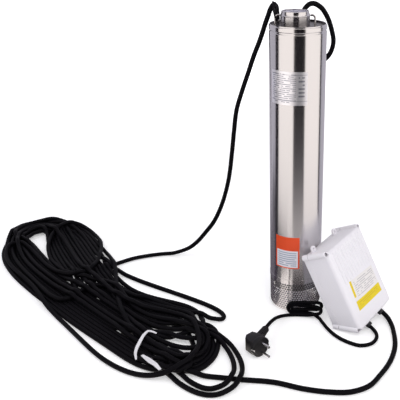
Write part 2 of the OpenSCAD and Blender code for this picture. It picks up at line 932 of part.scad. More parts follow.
module plug_body() {
  color("black")
    plug_place()
      difference() {
        union() {
          translate([-face_t, 0, 0]) rotate([0, 90, 0]) cylinder(r = plug_r, h = face_t);
          translate([0, 0, -grip_h / 2])
            linear_extrude(grip_h)
              polygon([[-face_t + 2, -15], [-face_t + 2, 16], [-face_t - 3, 17], [relief_x + 9, 16],
                       [-grip_end, 9], [-grip_end, -6], [-grip_end + 7, -14]]);
        }
        for (s = [-1, 1])
          translate([-face_t - cut, s * plug_r - (s > 0 ? clip_deep : 0), -clip_w / 2 - fit])
            cube([face_t + 2 * cut, clip_deep, clip_w + 2 * fit]);
        for (s = [-1, 1])
          translate([-pin_deep, 0, s * pin_span / 2])
            rotate([0, 90, 0]) cylinder(r = pin_r + fit, h = pin_deep + cut);
        relief_place() translate([0, 0, -2]) cylinder(r = relief_r + fit, h = relief_l);
      }
}

module plug_pins() {
  color("silver")
    plug_place()
      for (s = [-1, 1])
        translate([-pin_deep, 0, s * pin_span / 2])
          rotate([0, 90, 0]) cylinder(r = pin_r, h = pin_deep + pin_l);
}

module plug_earth_clips() {
  color("silver")
    plug_place()
      for (s = [-1, 1])
        translate([-face_t, s * (plug_r - clip_deep + clip_t / 2) - clip_t / 2, -clip_w / 2])
          cube([face_t, clip_t, clip_w]);
}

// Bend protector of the plug: a tapered sleeve with raised rings
module plug_relief() {
  step = (relief_l - 6) / relief_ribs;
  color("black")
    plug_place()
      relief_place()
        rotate_extrude() polygon(concat(
          [[0, -2], [relief_r, -2], [relief_r, 5]],
          [for (i = [0:relief_ribs - 1], e = [0:3])
            let(z = 6 + step * (i + [0, 0.5, 0.5, 0.95][e]), t = (z - 6) / (relief_l - 6))
            [relief_r - (relief_r - relief_tip) * t - [0, 0, 1.2, 1.2][e], z]],
          [[relief_tip - 1.2, relief_l], [0, relief_l]]
        ));
}

strainer();
strainer_screws();
outer_shell();
suction_plate();
bottom_bush();
for (i = [1:stage_count]) {
  diffuser(i);
  impeller(i);
}
motor_flange();
seal_seat();
seal_ring();
lower_bearing();
motor_can();
stator();
winding_lower();
winding_upper();
rotor_core();
shaft();
shaft_nut();
motor_cap();
upper_bearing();
discharge_head();
head_o_ring();
eyelet_left();
eyelet_right();
gland_body();
gland_seal();
gland_nut();
inner_lead();
box_base();
box_cover();
cover_gasket();
cover_screws();
capacitor();
terminal_block();
box_gland_pump();
box_gland_mains();
cable_upper();
cable_hank();
cable_lower();
hank_tie();
lead_plug_side();
lead_hank();
lead_box_side();
plug_body();
plug_pins();
plug_earth_clips();
plug_relief();
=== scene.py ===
# %% [markdown]
# # A borehole pump with its control box and its cords
# A slim steel pump stands on its strainer, a white control box leans on it, and a long black
# cable lies beside it in a loose hank. The solids come from the CAD model. This notebook dresses
# them: it gives every node a finish, and makes the pieces that the eye looks at closely again.

# %% Start
import math

import bmesh
import bpy
import numpy as np
from mathutils import Matrix, Vector


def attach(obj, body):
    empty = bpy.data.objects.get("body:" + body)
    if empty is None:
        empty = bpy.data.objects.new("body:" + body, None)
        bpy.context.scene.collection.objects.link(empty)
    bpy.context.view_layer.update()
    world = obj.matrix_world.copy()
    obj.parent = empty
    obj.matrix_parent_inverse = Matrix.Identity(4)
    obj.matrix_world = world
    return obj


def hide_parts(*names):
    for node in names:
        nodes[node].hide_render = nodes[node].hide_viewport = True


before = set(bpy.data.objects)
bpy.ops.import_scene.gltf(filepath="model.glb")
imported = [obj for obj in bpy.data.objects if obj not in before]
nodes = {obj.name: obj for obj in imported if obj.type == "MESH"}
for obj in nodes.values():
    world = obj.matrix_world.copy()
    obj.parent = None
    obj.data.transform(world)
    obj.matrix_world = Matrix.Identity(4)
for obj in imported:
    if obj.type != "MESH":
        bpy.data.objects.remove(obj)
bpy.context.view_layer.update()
scene = bpy.context.scene
MM = 0.001
PUMP = "pump"

# %% [markdown]
# ## Finishes
# A shader is a small sum of textures. It could be wired by hand in the editor. To write it as a
# sum, a socket of a node is wrapped in a class with the usual signs, and each sign adds one Math
# node. All other nodes come from one method that takes the type, the settings and what goes into
# the sockets. Geometry Nodes are written with the same two classes further down.

# %% Sockets and trees
class Socket:
    """The output of a node, which can be used in sums."""

    def __init__(self, tree, out):
        self.tree, self.out = tree, out

    def maths(self, operation, *values):
        return self.tree.add("ShaderNodeMath", {"operation": operation}, dict(enumerate(values)))

    def __add__(self, other):
        return self.maths("ADD", self, other)

    def __sub__(self, other):
        return self.maths("SUBTRACT", self, other)

    def __rsub__(self, other):
        return self.maths("SUBTRACT", other, self)

    def __mul__(self, other):
        return self.maths("MULTIPLY", self, other)

    def __truediv__(self, other):
        return self.maths("DIVIDE", self, other)

    def __gt__(self, other):
        return self.maths("GREATER_THAN", self, other)

    def __lt__(self, other):
        return self.maths("LESS_THAN", self, other)

    __radd__, __rmul__ = __add__, __mul__

    def cos(self):
        return self.maths("COSINE", self)

    def sin(self):
        return self.maths("SINE", self)

    def within(self, low, high):
        """1 between the two limits, else 0."""
        return (self > low) * (self < high)

    def ease(self, low, high):
        """Rises smoothly from 0 at low to 1 at high."""
        return self.tree.add("ShaderNodeMapRange", {"interpolation_type": "SMOOTHSTEP"},
                             {"Value": self, "From Min": low, "From Max": high})


class Tree:
    """A node tree that is filled from code."""

    def __init__(self, tree):
        self.tree = tree

    def add(self, kind, settings=None, inputs=None, out=0):
        """A new node; the result is one of its outputs, if it has any."""
        node = self.tree.nodes.new(kind)
        for key, value in (settings or {}).items():
            setattr(node, key, value)
        for key, value in (inputs or {}).items():
            if isinstance(value, Socket):
                self.tree.links.new(value.out, node.inputs[key])
            else:
                node.inputs[key].default_value = value
        return Socket(self, node.outputs[out]) if len(node.outputs) else None

    def parts(self, vector):
        """The x, y and z of a vector."""
        split = self.add("ShaderNodeSeparateXYZ", {}, {0: vector})
        return [Socket(self, out) for out in split.out.node.outputs]

    def rays(self):
        """1 for a ray from the camera, and 1 for a ray from a glossy surface."""
        path = self.tree.nodes.new("ShaderNodeLightPath")
        return [Socket(self, path.outputs[key]) for key in ("Is Camera Ray", "Is Glossy Ray")]

    def mix(self, factor, a, b):
        """Colour a where factor is 0, colour b where it is 1."""
        return self.add("ShaderNodeMix", {"data_type": "RGBA"}, {0: factor, 6: a, 7: b}, 2)

    def noise(self, where, scale, stretch=(1, 1, 1), detail=3):
        place = self.add("ShaderNodeVectorMath", {"operation": "MULTIPLY"}, {0: where, 1: stretch})
        return self.add("ShaderNodeTexNoise", {}, {"Vector": place, "Scale": scale, "Detail": detail}, "Fac")


# %% [markdown]
# No surface of the real pump has one even colour. Steel has grinding lines, castings are rough and
# rubber is a little blotched. Every finish therefore goes from a dark to a light tone with a grain,
# and the same grain changes the gloss and gives a small bump. The grain can be stretched, so that
# it runs along an upright tube or round it.

# %% Grained finishes
class Finish(Tree):
    """A material with one Principled node."""

    def __init__(self, name, **constants):
        self.name = name
        self.material = bpy.data.materials.new(name)
        self.material.use_nodes = True
        super().__init__(self.material.node_tree)
        self.surface = self.tree.nodes["Principled BSDF"]
        for key, value in constants.items():
            self.surface.inputs[key.replace("_", " ")].default_value = value
        self.where = self.add("ShaderNodeTexCoord", out="Object")

    def feed(self, key, value):
        self.tree.links.new(value.out, self.surface.inputs[key])
        return self

    def bump(self, height, strength, depth=0.0002):
        normal = self.add("ShaderNodeBump", {}, {"Height": height, "Strength": strength, "Distance": depth})
        return self.feed("Normal", normal)


def grained(name, dark, light, rough, scale, stretch=(1, 1, 1), bump=0.2, **constants):
    """A finish whose colour and gloss change a little with a grain."""
    finish = Finish(name, **constants)
    grain = finish.noise(finish.where, scale, stretch)
    finish.feed("Base Color", finish.mix(grain, (*dark, 1), (*light, 1)))
    finish.feed("Roughness", rough[0] + (rough[1] - rough[0]) * grain)
    return finish.bump(grain, bump)


ALONG, AROUND, LAYERS = (1, 1, 0.02), (0.05, 0.05, 8), (1, 1, 8)
finishes = {finish.name: finish for finish in (
    grained("stainless", (0.62, 0.605, 0.625), (0.68, 0.665, 0.685), (0.20, 0.25), 300, AROUND, 0.02,
            Metallic=1.0, Anisotropic=0.92, Anisotropic_Rotation=0.25),
    grained("bright_steel", (0.62, 0.62, 0.65), (0.74, 0.74, 0.76), (0.14, 0.24), 700, bump=0.05,
            Metallic=1.0),
    grained("core_steel", (0.25, 0.26, 0.29), (0.36, 0.37, 0.40), (0.35, 0.5), 500, LAYERS, Metallic=1.0),
    grained("cast_iron", (0.09, 0.09, 0.095), (0.16, 0.16, 0.165), (0.55, 0.75), 900, Metallic=0.6),
    grained("brass", (0.60, 0.36, 0.14), (0.75, 0.48, 0.22), (0.25, 0.4), 600, Metallic=1.0),
    grained("stage_plastic", (0.62, 0.58, 0.48), (0.70, 0.66, 0.56), (0.4, 0.55), 500),
    grained("seal_black", (0.012, 0.012, 0.014), (0.025, 0.025, 0.028), (0.5, 0.7), 700),
    grained("gland_plastic", (0.016, 0.016, 0.019), (0.03, 0.03, 0.034), (0.42, 0.6), 600),
    grained("box_white", (0.82, 0.80, 0.84), (0.85, 0.83, 0.87), (0.34, 0.44), 900, bump=0.08),
    grained("capacitor_case", (0.62, 0.62, 0.64), (0.72, 0.72, 0.74), (0.25, 0.4), 600, ALONG, Metallic=1.0),
    grained("cord_rubber", (0.002, 0.0018, 0.0028), (0.005, 0.0046, 0.0062), (0.42, 0.56), 420, bump=0.25,
            Specular_IOR_Level=0.05),
    grained("tie_white", (0.72, 0.71, 0.74), (0.80, 0.79, 0.82), (0.35, 0.5), 500),
)}
WEARS = {
    "stainless": "outer_shell strainer eyelet_left eyelet_right discharge_head motor_can",
    "bright_steel": "strainer_screws shaft shaft_nut lower_bearing upper_bearing cover_screws plug_pins"
                    " plug_earth_clips",
    "core_steel": "stator rotor_core",
    "cast_iron": "suction_plate motor_flange motor_cap",
    "brass": "bottom_bush winding_lower winding_upper",
    "stage_plastic": " ".join(f"diffuser_{i} impeller_{i}" for i in range(1, 7)),
    "seal_black": "seal_seat seal_ring head_o_ring gland_seal cover_gasket",
    "gland_plastic": "gland_body gland_nut box_gland_pump box_gland_mains",
    "box_white": "box_base box_cover terminal_block",
    "capacitor_case": "capacitor",
    "cord_rubber": "inner_lead cable_upper cable_hank cable_lower lead_plug_side lead_hank lead_box_side"
                   " plug_body plug_relief",
    "tie_white": "hank_tie",
}
dressed = []
for slot, names in WEARS.items():
    for name in names.split():
        nodes[name].data.materials.clear()
        nodes[name].data.materials.append(finishes[slot].material)
        dressed.append(name)
print(len(finishes), "finishes on", len(dressed), "nodes, without one:", sorted(set(nodes) - set(dressed)))


# %% [markdown]
# ## Pieces
# Every piece that is made here goes through one function: it takes the mesh, shades it smooth up
# to an angle, gives it a finish and lets it ride on the pump. The meshes come from a few small
# helpers, because turned and lofted forms make up nearly all of this object.

# %% Making a piece
def piece(name, mesh, slot, *stands_for, finish=None, angle=35):
    """An object with the slot's finish, or finishes of its own, in place of the nodes it stands for."""
    mesh.name = name
    mesh.set_sharp_from_angle(angle=math.radians(angle))
    obj = bpy.data.objects.new(name, mesh)
    scene.collection.objects.link(obj)
    mesh.materials.clear()
    for one in finish or [finishes[slot]]:
        mesh.materials.append(one.material)
    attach(obj, PUMP)
    if stands_for:
        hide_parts(*stands_for)
    print(name, len(mesh.vertices), "points,", len(mesh.polygons), "faces")
    return obj


def mesh_from(form):
    """The plain mesh of a bmesh, shaded smooth."""
    mesh = bpy.data.meshes.new("form")
    form.to_mesh(mesh)
    form.free()
    mesh.shade_smooth()
    return mesh


def mesh_of(*parts):
    """A mesh from parts, each of them points in millimetres and faces; double points are joined."""
    form = bmesh.new()
    for points, faces in parts:
        corners = [form.verts.new([c * MM for c in p]) for p in points]
        for face in faces:
            form.faces.new([corners[k] for k in face])
        bmesh.ops.remove_doubles(form, verts=corners, dist=1e-7)
    return mesh_from(form)


def joined(*meshes):
    """One mesh from several."""
    form = bmesh.new()
    for mesh in meshes:
        form.from_mesh(mesh)
    return mesh_from(form)


# %% Points and faces
def lathe(profile, axis=(0, 0), segments=128):
    """A closed profile of radius and height, turned about an upright axis."""
    count = len(profile)
    angles = np.linspace(0, 2 * math.pi, segments, endpoint=False)
    points = [(axis[0] + r * math.cos(a), axis[1] + r * math.sin(a), z) for a in angles for r, z in profile]
    faces = [(i * count + k, (i + 1) % segments * count + k, (i + 1) % segments * count + (k + 1) % count,
              i * count + (k + 1) % count)
             for i in range(segments) for k in range(count)
             if profile[k][0] or profile[(k + 1) % count][0]]
    return points, faces


def arc(x, z, r, start, stop, steps=6):
    """Points of an arc in the plane of a profile, in degrees."""
    angles = np.radians(np.linspace(start, stop, steps + 1))
    return [(x + r * math.cos(a), z + r * math.sin(a)) for a in angles]


def loft(rings, closed=True):
    """Rings with the same number of points, joined by faces; the ends get a face each."""
    count = len(rings[0])
    faces = [(i * count + k, i * count + (k + 1) % count, (i + 1) * count + (k + 1) % count,
              (i + 1) * count + k)
             for i in range(len(rings) - 1) for k in range(count)]
    if closed:
        faces += [tuple(range(count))[::-1], tuple(range((len(rings) - 1) * count, len(rings) * count))]
    return [p for ring in rings for p in ring], faces


def placed(part, matrix):
    """The part's points moved by a matrix."""
    points, faces = part
    return [tuple(matrix @ Vector(p)) for p in points], faces


# %% [markdown]
# Modifiers cut a form, give a sheet its thickness and soften edges. A finished piece has to be a
# plain mesh, so each modifier works on a draft object, which is removed when its result is taken.

# %% Modifiers
def draft(mesh):
    """An object to put modifiers on."""
    obj = bpy.data.objects.new(mesh.name, mesh)
    scene.collection.objects.link(obj)
    return obj


def plain(obj):
    """The object's mesh with its modifiers done; the object itself goes."""
    bpy.context.view_layer.update()
    mesh = bpy.data.meshes.new_from_object(obj.evaluated_get(bpy.context.evaluated_depsgraph_get()))
    bpy.data.objects.remove(obj)
    return mesh


def cut(mesh, cutter_mesh):
    """The mesh with another one cut out of it."""
    obj, cutter = draft(mesh), draft(cutter_mesh)
    change = obj.modifiers.new("cut", "BOOLEAN")
    change.operation, change.object = "DIFFERENCE", cutter
    mesh = plain(obj)
    bpy.data.objects.remove(cutter)
    return mesh


def thickened(mesh, thickness, back=0):
    """A sheet with a thickness behind it; its back has the material that many places further on."""
    obj = draft(mesh)
    solid = obj.modifiers.new("thick", "SOLIDIFY")
    solid.thickness, solid.offset, solid.material_offset = thickness * MM, -1, back
    mesh = plain(obj)
    mesh.shade_smooth()
    return mesh


# %% [markdown]
# What repeats is made with Geometry Nodes: a small tree is built here, its inputs are set by their
# socket identifiers, and the result is taken as a plain mesh. Copies in a loop would do the same,
# but a tree keeps its sizes as named inputs and places all copies in one step.

# %% Geometry Nodes
SOCKETS = {int: "NodeSocketInt", float: "NodeSocketFloat", bpy.types.Object: "NodeSocketObject",
           bpy.types.Material: "NodeSocketMaterial"}


def grown(name, fill, finish, **inputs):
    """The mesh that a tree makes; fill adds the nodes between the inputs and the material."""
    inputs["Material"] = finish.material
    group = bpy.data.node_groups.new(name, "GeometryNodeTree")
    group.interface.new_socket("Geometry", in_out="OUTPUT", socket_type="NodeSocketGeometry")
    for key, value in inputs.items():
        group.interface.new_socket(key, in_out="INPUT", socket_type=SOCKETS[type(value)])
    tree = Tree(group)
    source = group.nodes.new("NodeGroupInput")
    given = {key: Socket(tree, source.outputs[key]) for key in inputs}
    whole = tree.add("GeometryNodeRealizeInstances", {}, {0: fill(tree, given)})
    painted = tree.add("GeometryNodeSetMaterial", {}, {"Geometry": whole, "Material": given["Material"]})
    tree.add("NodeGroupOutput", {}, {0: painted})
    obj = draft(bpy.data.meshes.new(name))
    modifier = obj.modifiers.new("grow", "NODES")
    modifier.node_group = group
    for item in group.interface.items_tree:
        if item.in_out == "INPUT":
            modifier[item.identifier] = inputs[item.name]
    return plain(obj)


# %% [markdown]
# ## The pump cable
# The cable is one curve from the gland to the box. Its hank was coiled by hand, so it is laid by a
# rule: each turn runs along the hank's right edge, round the far end, back along the left edge and
# round the near end, somewhere between an inner and an outer line. The golden ratio spreads the
# turns. A few turns that the photograph shows apart have routes of their own: two wide loops, two
# bows that cross the near end, a narrow loop, a crossing, a ring and a loose turn on top.

# %% Routes of the pump cable, in millimetres
CABLE_D, LEAD_D = 9.0, 7.0
UPPER = [
    (8.2, 33, 538), (8.2, 33, 549), (12, 34, 558), (24, 38, 567), (40, 42, 560), (51, 45, 545), (60, 46, 522),
    (64, 47, 498), (56, 50, 475), (36, 56, 460), (8, 62, 452), (-18, 63, 460), (-32, 60, 485), (-34, 55, 520),
    (-35, 46, 548), (-37, 33, 563), (-41, 21, 567), (-46, 13, 561), (-50, 12, 550), (-54.5, 14, 538),
    (-60, 18, 521), (-66, 22, 504), (-74, 28, 484),
    (-87, 41, 446), (-99, 52, 411), (-111, 63, 371), (-117, 69, 330), (-122, 73, 289), (-132, 82, 223),
    (-146, 95, 171), (-168, 116, 117), (-189, 136, 82), (-211, 156, 49), (-238, 178, 20), (-268, 186, 6),
    (-320, 177, 4.5), (-359, 160, 4.5), (-388, 136, 4.5),
]
LOWER = [
    (-140, -246, 4.5), (-95, -253, 4.5), (-40, -260, 4.5), (11, -277, 4.5), (48, -284, 4.5), (83, -284, 4.5),
    (114, -270, 4.5), (137, -241, 4.5), (160, -202, 4.5), (174, -160, 4.5), (178, -120, 4.5), (177, -90, 5),
    (172, -72, 7.5), (164, -62, 11.5), (158, -58, 14.6),
]
EDGES = {
    "right": ([(-240, -145), (-280, -125), (-322, -88), (-372, -45), (-420, 5), (-468, 85), (-518, 170),
               (-562, 244)],
              [(-181, -45), (-233, -18), (-285, 1), (-335, 33), (-376, 94), (-418, 153), (-477, 251),
               (-522, 312)]),
    "far": ([(-590, 274), (-608, 286), (-622, 280), (-621, 260)],
            [(-571, 343), (-622, 345), (-655, 316), (-662, 256)]),
    "left": ([(-610, 238), (-572, 172), (-500, 95), (-430, 35), (-365, -20), (-310, -75), (-252, -132),
              (-214, -180)],
             [(-645, 196), (-600, 112), (-526, 23), (-451, -56), (-388, -114), (-331, -163), (-278, -206),
              (-230, -237)]),
    "near": ([(-200, -196), (-184, -200), (-173, -188), (-177, -167), (-200, -151)],
             [(-200, -250), (-169, -238), (-146, -195), (-141, -136), (-157, -77)]),
}
NARROW = [
    (-413, 49), (-334, -3), (-265, -24), (-213, -48), (-179, -70), (-150, -88), (-127, -84), (-127, -64),
    (-150, -42), (-201, -9), (-274, 36), (-329, 70), (-378, 105), (-416, 146), (-486, 255),
]
CROSS = [
    (-202, -250), (-176, -242), (-170, -218), (-194, -200), (-238, -186), (-284, -143), (-319, -84),
    (-348, -25), (-370, 59), (-392, 131), (-440, 218), (-505, 302), (-554, 335), (-607, 335),
]
RING = [
    (-329, -25), (-392, 51), (-433, 63), (-479, 80), (-519, 124), (-548, 194), (-560, 283), (-538, 330),
    (-493, 302), (-448, 227), (-426, 146), (-429, 92), (-452, 62), (-514, 102), (-585, 180), (-627, 222),
    (-646, 206), (-630, 154),
]
LOOSE = [
    (-601, 113), (-540, 46), (-456, -63), (-386, -143), (-334, -199), (-293, -229), (-257, -243),
    (-220, -252), (-188, -242), (-172, -212), (-168, -170), (-183, -122), (-211, -80), (-252, -58),
    (-297, -52), (-343, -21), (-401, 56),
]
WIDE = [
    [(-240, -209), (-201, -249), (-175, -278), (-140, -300), (-112, -288), (-90, -253), (-97, -209),
     (-129, -146), (-180, -113), (-231, -83), (-277, -49)],
    [(-231, -200), (-191, -240), (-175, -262), (-147, -286), (-121, -280), (-104, -253), (-110, -209),
     (-137, -154), (-173, -121), (-222, -99), (-270, -72)],
]
BOWS = [
    [(-262, -122), (-232, -138), (-204, -152), (-178, -160), (-158, -150), (-154, -130), (-170, -110),
     (-206, -98), (-254, -94), (-300, -70), (-352, -20)],
    [(-268, -144), (-238, -160), (-206, -175), (-178, -186), (-158, -180), (-150, -158), (-164, -134),
     (-200, -122), (-246, -114), (-292, -90), (-344, -36)],
]
LEAVING = [(-286, -151), (-237, -195), (-191, -233)]

# %% Turns of the hank
GOLDEN = 0.618034
# The height of the first turn, and how much higher each turn starts.
FIRST_H, TURN_H = 5, 3.4
# How far inside its inner line a side may lie, as a share of the way to the outer line.
INWARD = 0.15


def edge(name, share, start=0, stop=None):
    """Part of a line between the inner and the outer line of an edge."""
    inner, outer = (np.array(line, float) for line in EDGES[name])
    return (inner + (outer - inner) * share)[start:stop].tolist()


def spread(turn, start):
    """A share between 0 and 1 that is far from the ones of the turns before."""
    return (start + turn * GOLDEN) % 1


def hank_route():
    """All turns in the order in which they are laid, most of them a little higher than the last."""
    points = []

    def lay(line, turn):
        points.extend((x, y, FIRST_H + TURN_H * turn) for x, y in line)

    def side(name, turn, first, start=0, stop=None):
        lay(edge(name, (1 + INWARD) * spread(turn, first) - INWARD, start, stop), turn)

    def run(turn, right=0, left=None):
        side("right", turn, 0.12, right)
        lay(edge("far", 0.1 + 0.9 * spread(turn, 0.37)), turn)
        side("left", turn, 0.63, 0, left)

    def near(turn):
        lay(edge("near", spread(turn, 0.25)), turn)

    run(0, 5)
    lay(edge("near", 0.6), 0)
    for turn in (1, 2, 3):
        run(turn)
        near(turn)
    for turn, wide in ((4, WIDE[0]), (6, WIDE[1])):
        run(turn, left=-1)
        lay(wide, turn)
        run(turn + 1, right=4)
        near(turn + 1)
    for turn, bow, right in ((8, BOWS[0], 0), (9, BOWS[1], 4)):
        run(turn, right, -2)
        lay(bow, turn)
    run(10, 4, 4)
    lay(NARROW, 8)
    lay(edge("far", 0.9) + edge("left", 0.9), 9)
    lay(CROSS + edge("far", 0.7, 2) + edge("left", 0.35), 10)
    lay(edge("near", 0.5) + edge("right", 0.4, 0, 3), 11)
    lay(RING + LOOSE, 12)
    lay(edge("right", 0.3, 5) + edge("far", 0.45) + edge("left", 0.5, 0, 6), 13)
    lay(LEAVING, 12)
    return points


HANK = hank_route()
print(len(UPPER), "route points from the gland,", len(HANK), "in the hank,", len(LOWER), "to the box")

# %% [markdown]
# A curve through the route's points gives an even row of points. The turns then settle: in each
# round, turns that lie in each other push apart, gravity draws them down to the floor, and the
# cable's stiffness keeps every bend smooth. A rigid body simulation could do this too, but plain
# arithmetic on one array gives the same result every time.

# %% Even points along a route
def even(route, step, between=24):
    """Points at an even step along a smooth curve through the route."""
    p = np.asarray(route, float)
    q = np.vstack([2 * p[0] - p[1], p, 2 * p[-1] - p[-2]])
    t = np.linspace(0, 1, between, endpoint=False)[:, None]
    parts = []
    for a, b, c, d in zip(q, q[1:], q[2:], q[3:]):
        before, here, after = (max(np.linalg.norm(v), 1e-6) for v in (b - a, c - b, d - c))
        leave = here * ((b - a) / before * here + (c - b) / here * before) / (before + here)
        reach = here * ((c - b) / here * after + (d - c) / after * here) / (here + after)
        parts.append((2 * t**3 - 3 * t**2 + 1) * b + (t**3 - 2 * t**2 + t) * leave
                     + (3 * t**2 - 2 * t**3) * c + (t**3 - t**2) * reach)
    fine = np.vstack(parts + [p[-1:]])
    s = np.r_[0, np.cumsum(np.linalg.norm(np.diff(fine, axis=0), axis=1))]
    at = np.linspace(0, s[-1], int(round(s[-1] / step)) + 1)
    return np.column_stack([np.interp(at, s, fine[:, c]) for c in range(3)])


# %% Settling
# Rounds in all, the calm and the still ones at the end, and how often pairs are searched.
ROUNDS, CALM, STILL, SEARCH_EVERY = 190, 70, 30, 5
# How far to search, in diameters, how hard turns push, how far a point's pushes are averaged, and
# the least height that pushes apart two turns that lie level, in millimetres.
SEARCH, PUSH, LAST_PUSH, SHARED, LIFT = 1.7, 0.3, 0.4, 0.45, 0.5
# How far a point falls in a round, in millimetres.
FALL, CALM_FALL = 0.5, 0.12
# The pull towards a smooth curve through near and through far neighbours.
STIFF, STIFF_FAR, LAST_STIFF_FAR, FAR = 0.3, 0.12, 0.05, 4
# The pull back to the route.
HOMING = 0.015


def near_pairs(p, reach, apart=4, block=256):
    """Pairs of points closer than the reach that are more than a few steps apart along the cable."""
    first, second = [], []
    for a in range(0, len(p), block):
        i, j = np.nonzero(((p[a:a + block, None] - p[None]) ** 2).sum(2) < reach**2)
        keep = j > i + a + apart
        first.append(i[keep] + a)
        second.append(j[keep])
    return np.concatenate(first), np.concatenate(second)


def stiffness(p, g):
    """How far each point is from a smooth curve through its neighbours g and 2 g steps away."""
    pull = np.zeros_like(p)
    pull[2 * g:-2 * g] = (4 * (p[g:-3 * g] + p[3 * g:-g]) - (p[:-4 * g] + p[4 * g:])) / 6 - p[2 * g:-2 * g]
    return pull


def settle(p, diameter, held=6):
    """The turns pushed apart, drawn down and kept smooth; the calm and still rounds come last."""
    start, free = p.copy(), np.zeros((len(p), 1))
    free[held:-held] = 1
    for step in range(ROUNDS):
        if step % SEARCH_EVERY == 0:
            first, second = near_pairs(p, SEARCH * diameter)
        calm, still = step >= ROUNDS - CALM, step >= ROUNDS - STILL
        along = np.gradient(p, axis=0)
        along /= np.linalg.norm(along, axis=1)[:, None]
        away = p[second] - p[first]
        distance = np.linalg.norm(away, axis=1)
        hit = distance < diameter
        i, j, away, distance = first[hit], second[hit], away[hit], distance[hit]
        away[np.abs(away[:, 2]) < LIFT, 2] = LIFT
        side = (along[i] * along[j]).sum(1) ** 2
        push = away * np.column_stack([side, side, np.ones_like(side)])
        push *= ((LAST_PUSH if still else PUSH) * (diameter - distance)
                 / np.maximum(np.linalg.norm(push, axis=1), 1e-3))[:, None]
        move, count = np.zeros_like(p), np.zeros(len(p))
        for index, sign in ((j, 1), (i, -1)):
            np.add.at(move, index, sign * push)
            np.add.at(count, index, 1)
        move /= np.maximum(1, SHARED * count)[:, None]
        move[:, 2] -= 0 if still else CALM_FALL if calm else FALL
        move += STIFF * stiffness(p, 1) + (LAST_STIFF_FAR if still else STIFF_FAR) * stiffness(p, FAR)
        move[:, :2] += HOMING * (start - p)[:, :2]
        p = p + free * move
        p[:, 2] = np.maximum(p[:, 2], CABLE_D / 2)
    return p


# %% Cable
def cord_curve(name, points, diameter, slot, *stands_for):
    """A round cord as one open curve, from points in millimetres, and its length in metres."""
    curve = bpy.data.curves.new(name, "CURVE")
    curve.dimensions = "3D"
    curve.bevel_depth = diameter / 2 * MM
    curve.bevel_resolution = 2
    curve.use_fill_caps = True
    spline = curve.splines.new("POLY")
    spline.points.add(len(points) - 1)
    spline.points.foreach_set("co", np.column_stack([points * MM, np.ones(len(points))]).ravel())
    spline.use_smooth = True
    obj = bpy.data.objects.new(name, curve)
    scene.collection.objects.link(obj)
    curve.materials.append(finishes[slot].material)
    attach(obj, PUMP)
    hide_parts(*stands_for)
    length = np.linalg.norm(np.diff(points, axis=0), axis=1).sum() * MM
    print(f"{name}: {length:.2f} m of {diameter} mm cord, {len(points)} points")
    return obj, length


COARSE_STEP, FINE_STEP, ENDS, GAP, DEEP = 8.5, 4.5, 8, 0.3, 2
whole = even(UPPER + HANK + LOWER, COARSE_STEP)
begin = int(np.argmin(np.linalg.norm(whole - UPPER[-1], axis=1))) - ENDS
end = int(np.argmin(np.linalg.norm(whole - LOWER[0], axis=1))) + ENDS
whole[begin:end] = settle(whole[begin:end], CABLE_D + GAP)
deep_pairs = len(near_pairs(whole, CABLE_D - DEEP, 6)[0])
print("hank up to", round(whole[begin:end, 2].max(), 1), "mm high,", deep_pairs, "pairs of points lie over",
      DEEP, "mm in each other")
cable_points = even(whole, FINE_STEP)
cable_points[:, 2] = np.maximum(cable_points[:, 2], CABLE_D / 2)
cable, cable_l = cord_curve("pump_cable", cable_points, CABLE_D, "cord_rubber",
                            "cable_upper", "cable_hank", "cable_lower")

# %% [markdown]
# ## The mains lead
# The lead leaves the box, lies in a flat arc on the floor, is wound into a small bundle that stands
# against the strainer, and goes on to the plug. It has so few turns that a list of points is
# shorter than a rule.

# %% Lead
BOX_SIDE = [
    (128, -98, 11.4), (134, -102, 8.4), (141, -109, 5), (145.5, -120, 3.6), (143.5, -138, 3.6),
    (132, -153, 3.6), (113, -158, 3.5), (92, -148, 3.5), (71, -128, 3.5), (58, -106, 3.5),
]
BUNDLE = [
    (50, -87, 3.5), (43, -70, 3.5), (33, -58, 3.8), (19, -53.6, 4), (6, -53, 4), (-3.8, -53, 4),
    (-11.7, -53, 7.3), (-15, -53, 15.2), (-11.7, -53, 23.1), (-3.8, -53, 26.4), (8, -53, 26.4),
    (20, -53, 26.4), (32, -53, 26.3), (42, -53, 26.2), (47.2, -53.3, 24.1), (49.3, -53.5, 18.9),
    (47.2, -53.5, 13.7), (42, -53.4, 11.6), (32, -53.2, 11.5), (22, -53, 11.4), (10, -53, 10.9),
    (2, -53, 10.7), (-3, -53, 10.7), (-6.6, -53, 12.2), (-8.1, -53, 15.9), (-6.6, -53, 19.5),
    (-3, -53, 21), (3, -53, 20.9), (11, -53, 19.8), (22, -53, 19), (32, -54, 18.8),
]
PLUG_SIDE = [
    (41, -57, 18.3), (45.9, -58.7, 17.2), (47.9, -62.8, 14.5), (45.9, -66.8, 11.8), (41, -68.5, 10.7),
    (33, -67.5, 9), (25, -64, 5.5), (15, -61.2, 3.8), (6, -60.2, 3.5), (-4, -60, 3.5), (-18, -63, 4.5),
    (-28, -70, 7), (-37, -81, 10.5), (-45, -97, 14.5), (-51, -113, 17.7), (-57.6, -130, 18.5),
]
LEAD_STEP = 2.5
lead_points = even(BOX_SIDE + BUNDLE + PLUG_SIDE, LEAD_STEP)
lead, lead_l = cord_curve("mains_lead", lead_points, LEAD_D, "cord_rubber",
                          "lead_plug_side", "lead_hank", "lead_box_side")

# %% [markdown]
# ## The pump's steel
# The shell is a drawn and polished tube with a rolled groove under its rim, so it is a profile
# turned on a lathe. The steel's finish blurs reflections upwards only, as fine grinding lines
# round a tube do, which leaves the upright bands sharp.

# %% Shell
SHELL_R, BORE_R, SHELL_LOW, DECK_Z = 49.0, 47.5, 70, 537.0
GROOVE_Z, GROOVE_DEEP, GROOVE_H = 529.0, 1.0, 4.4


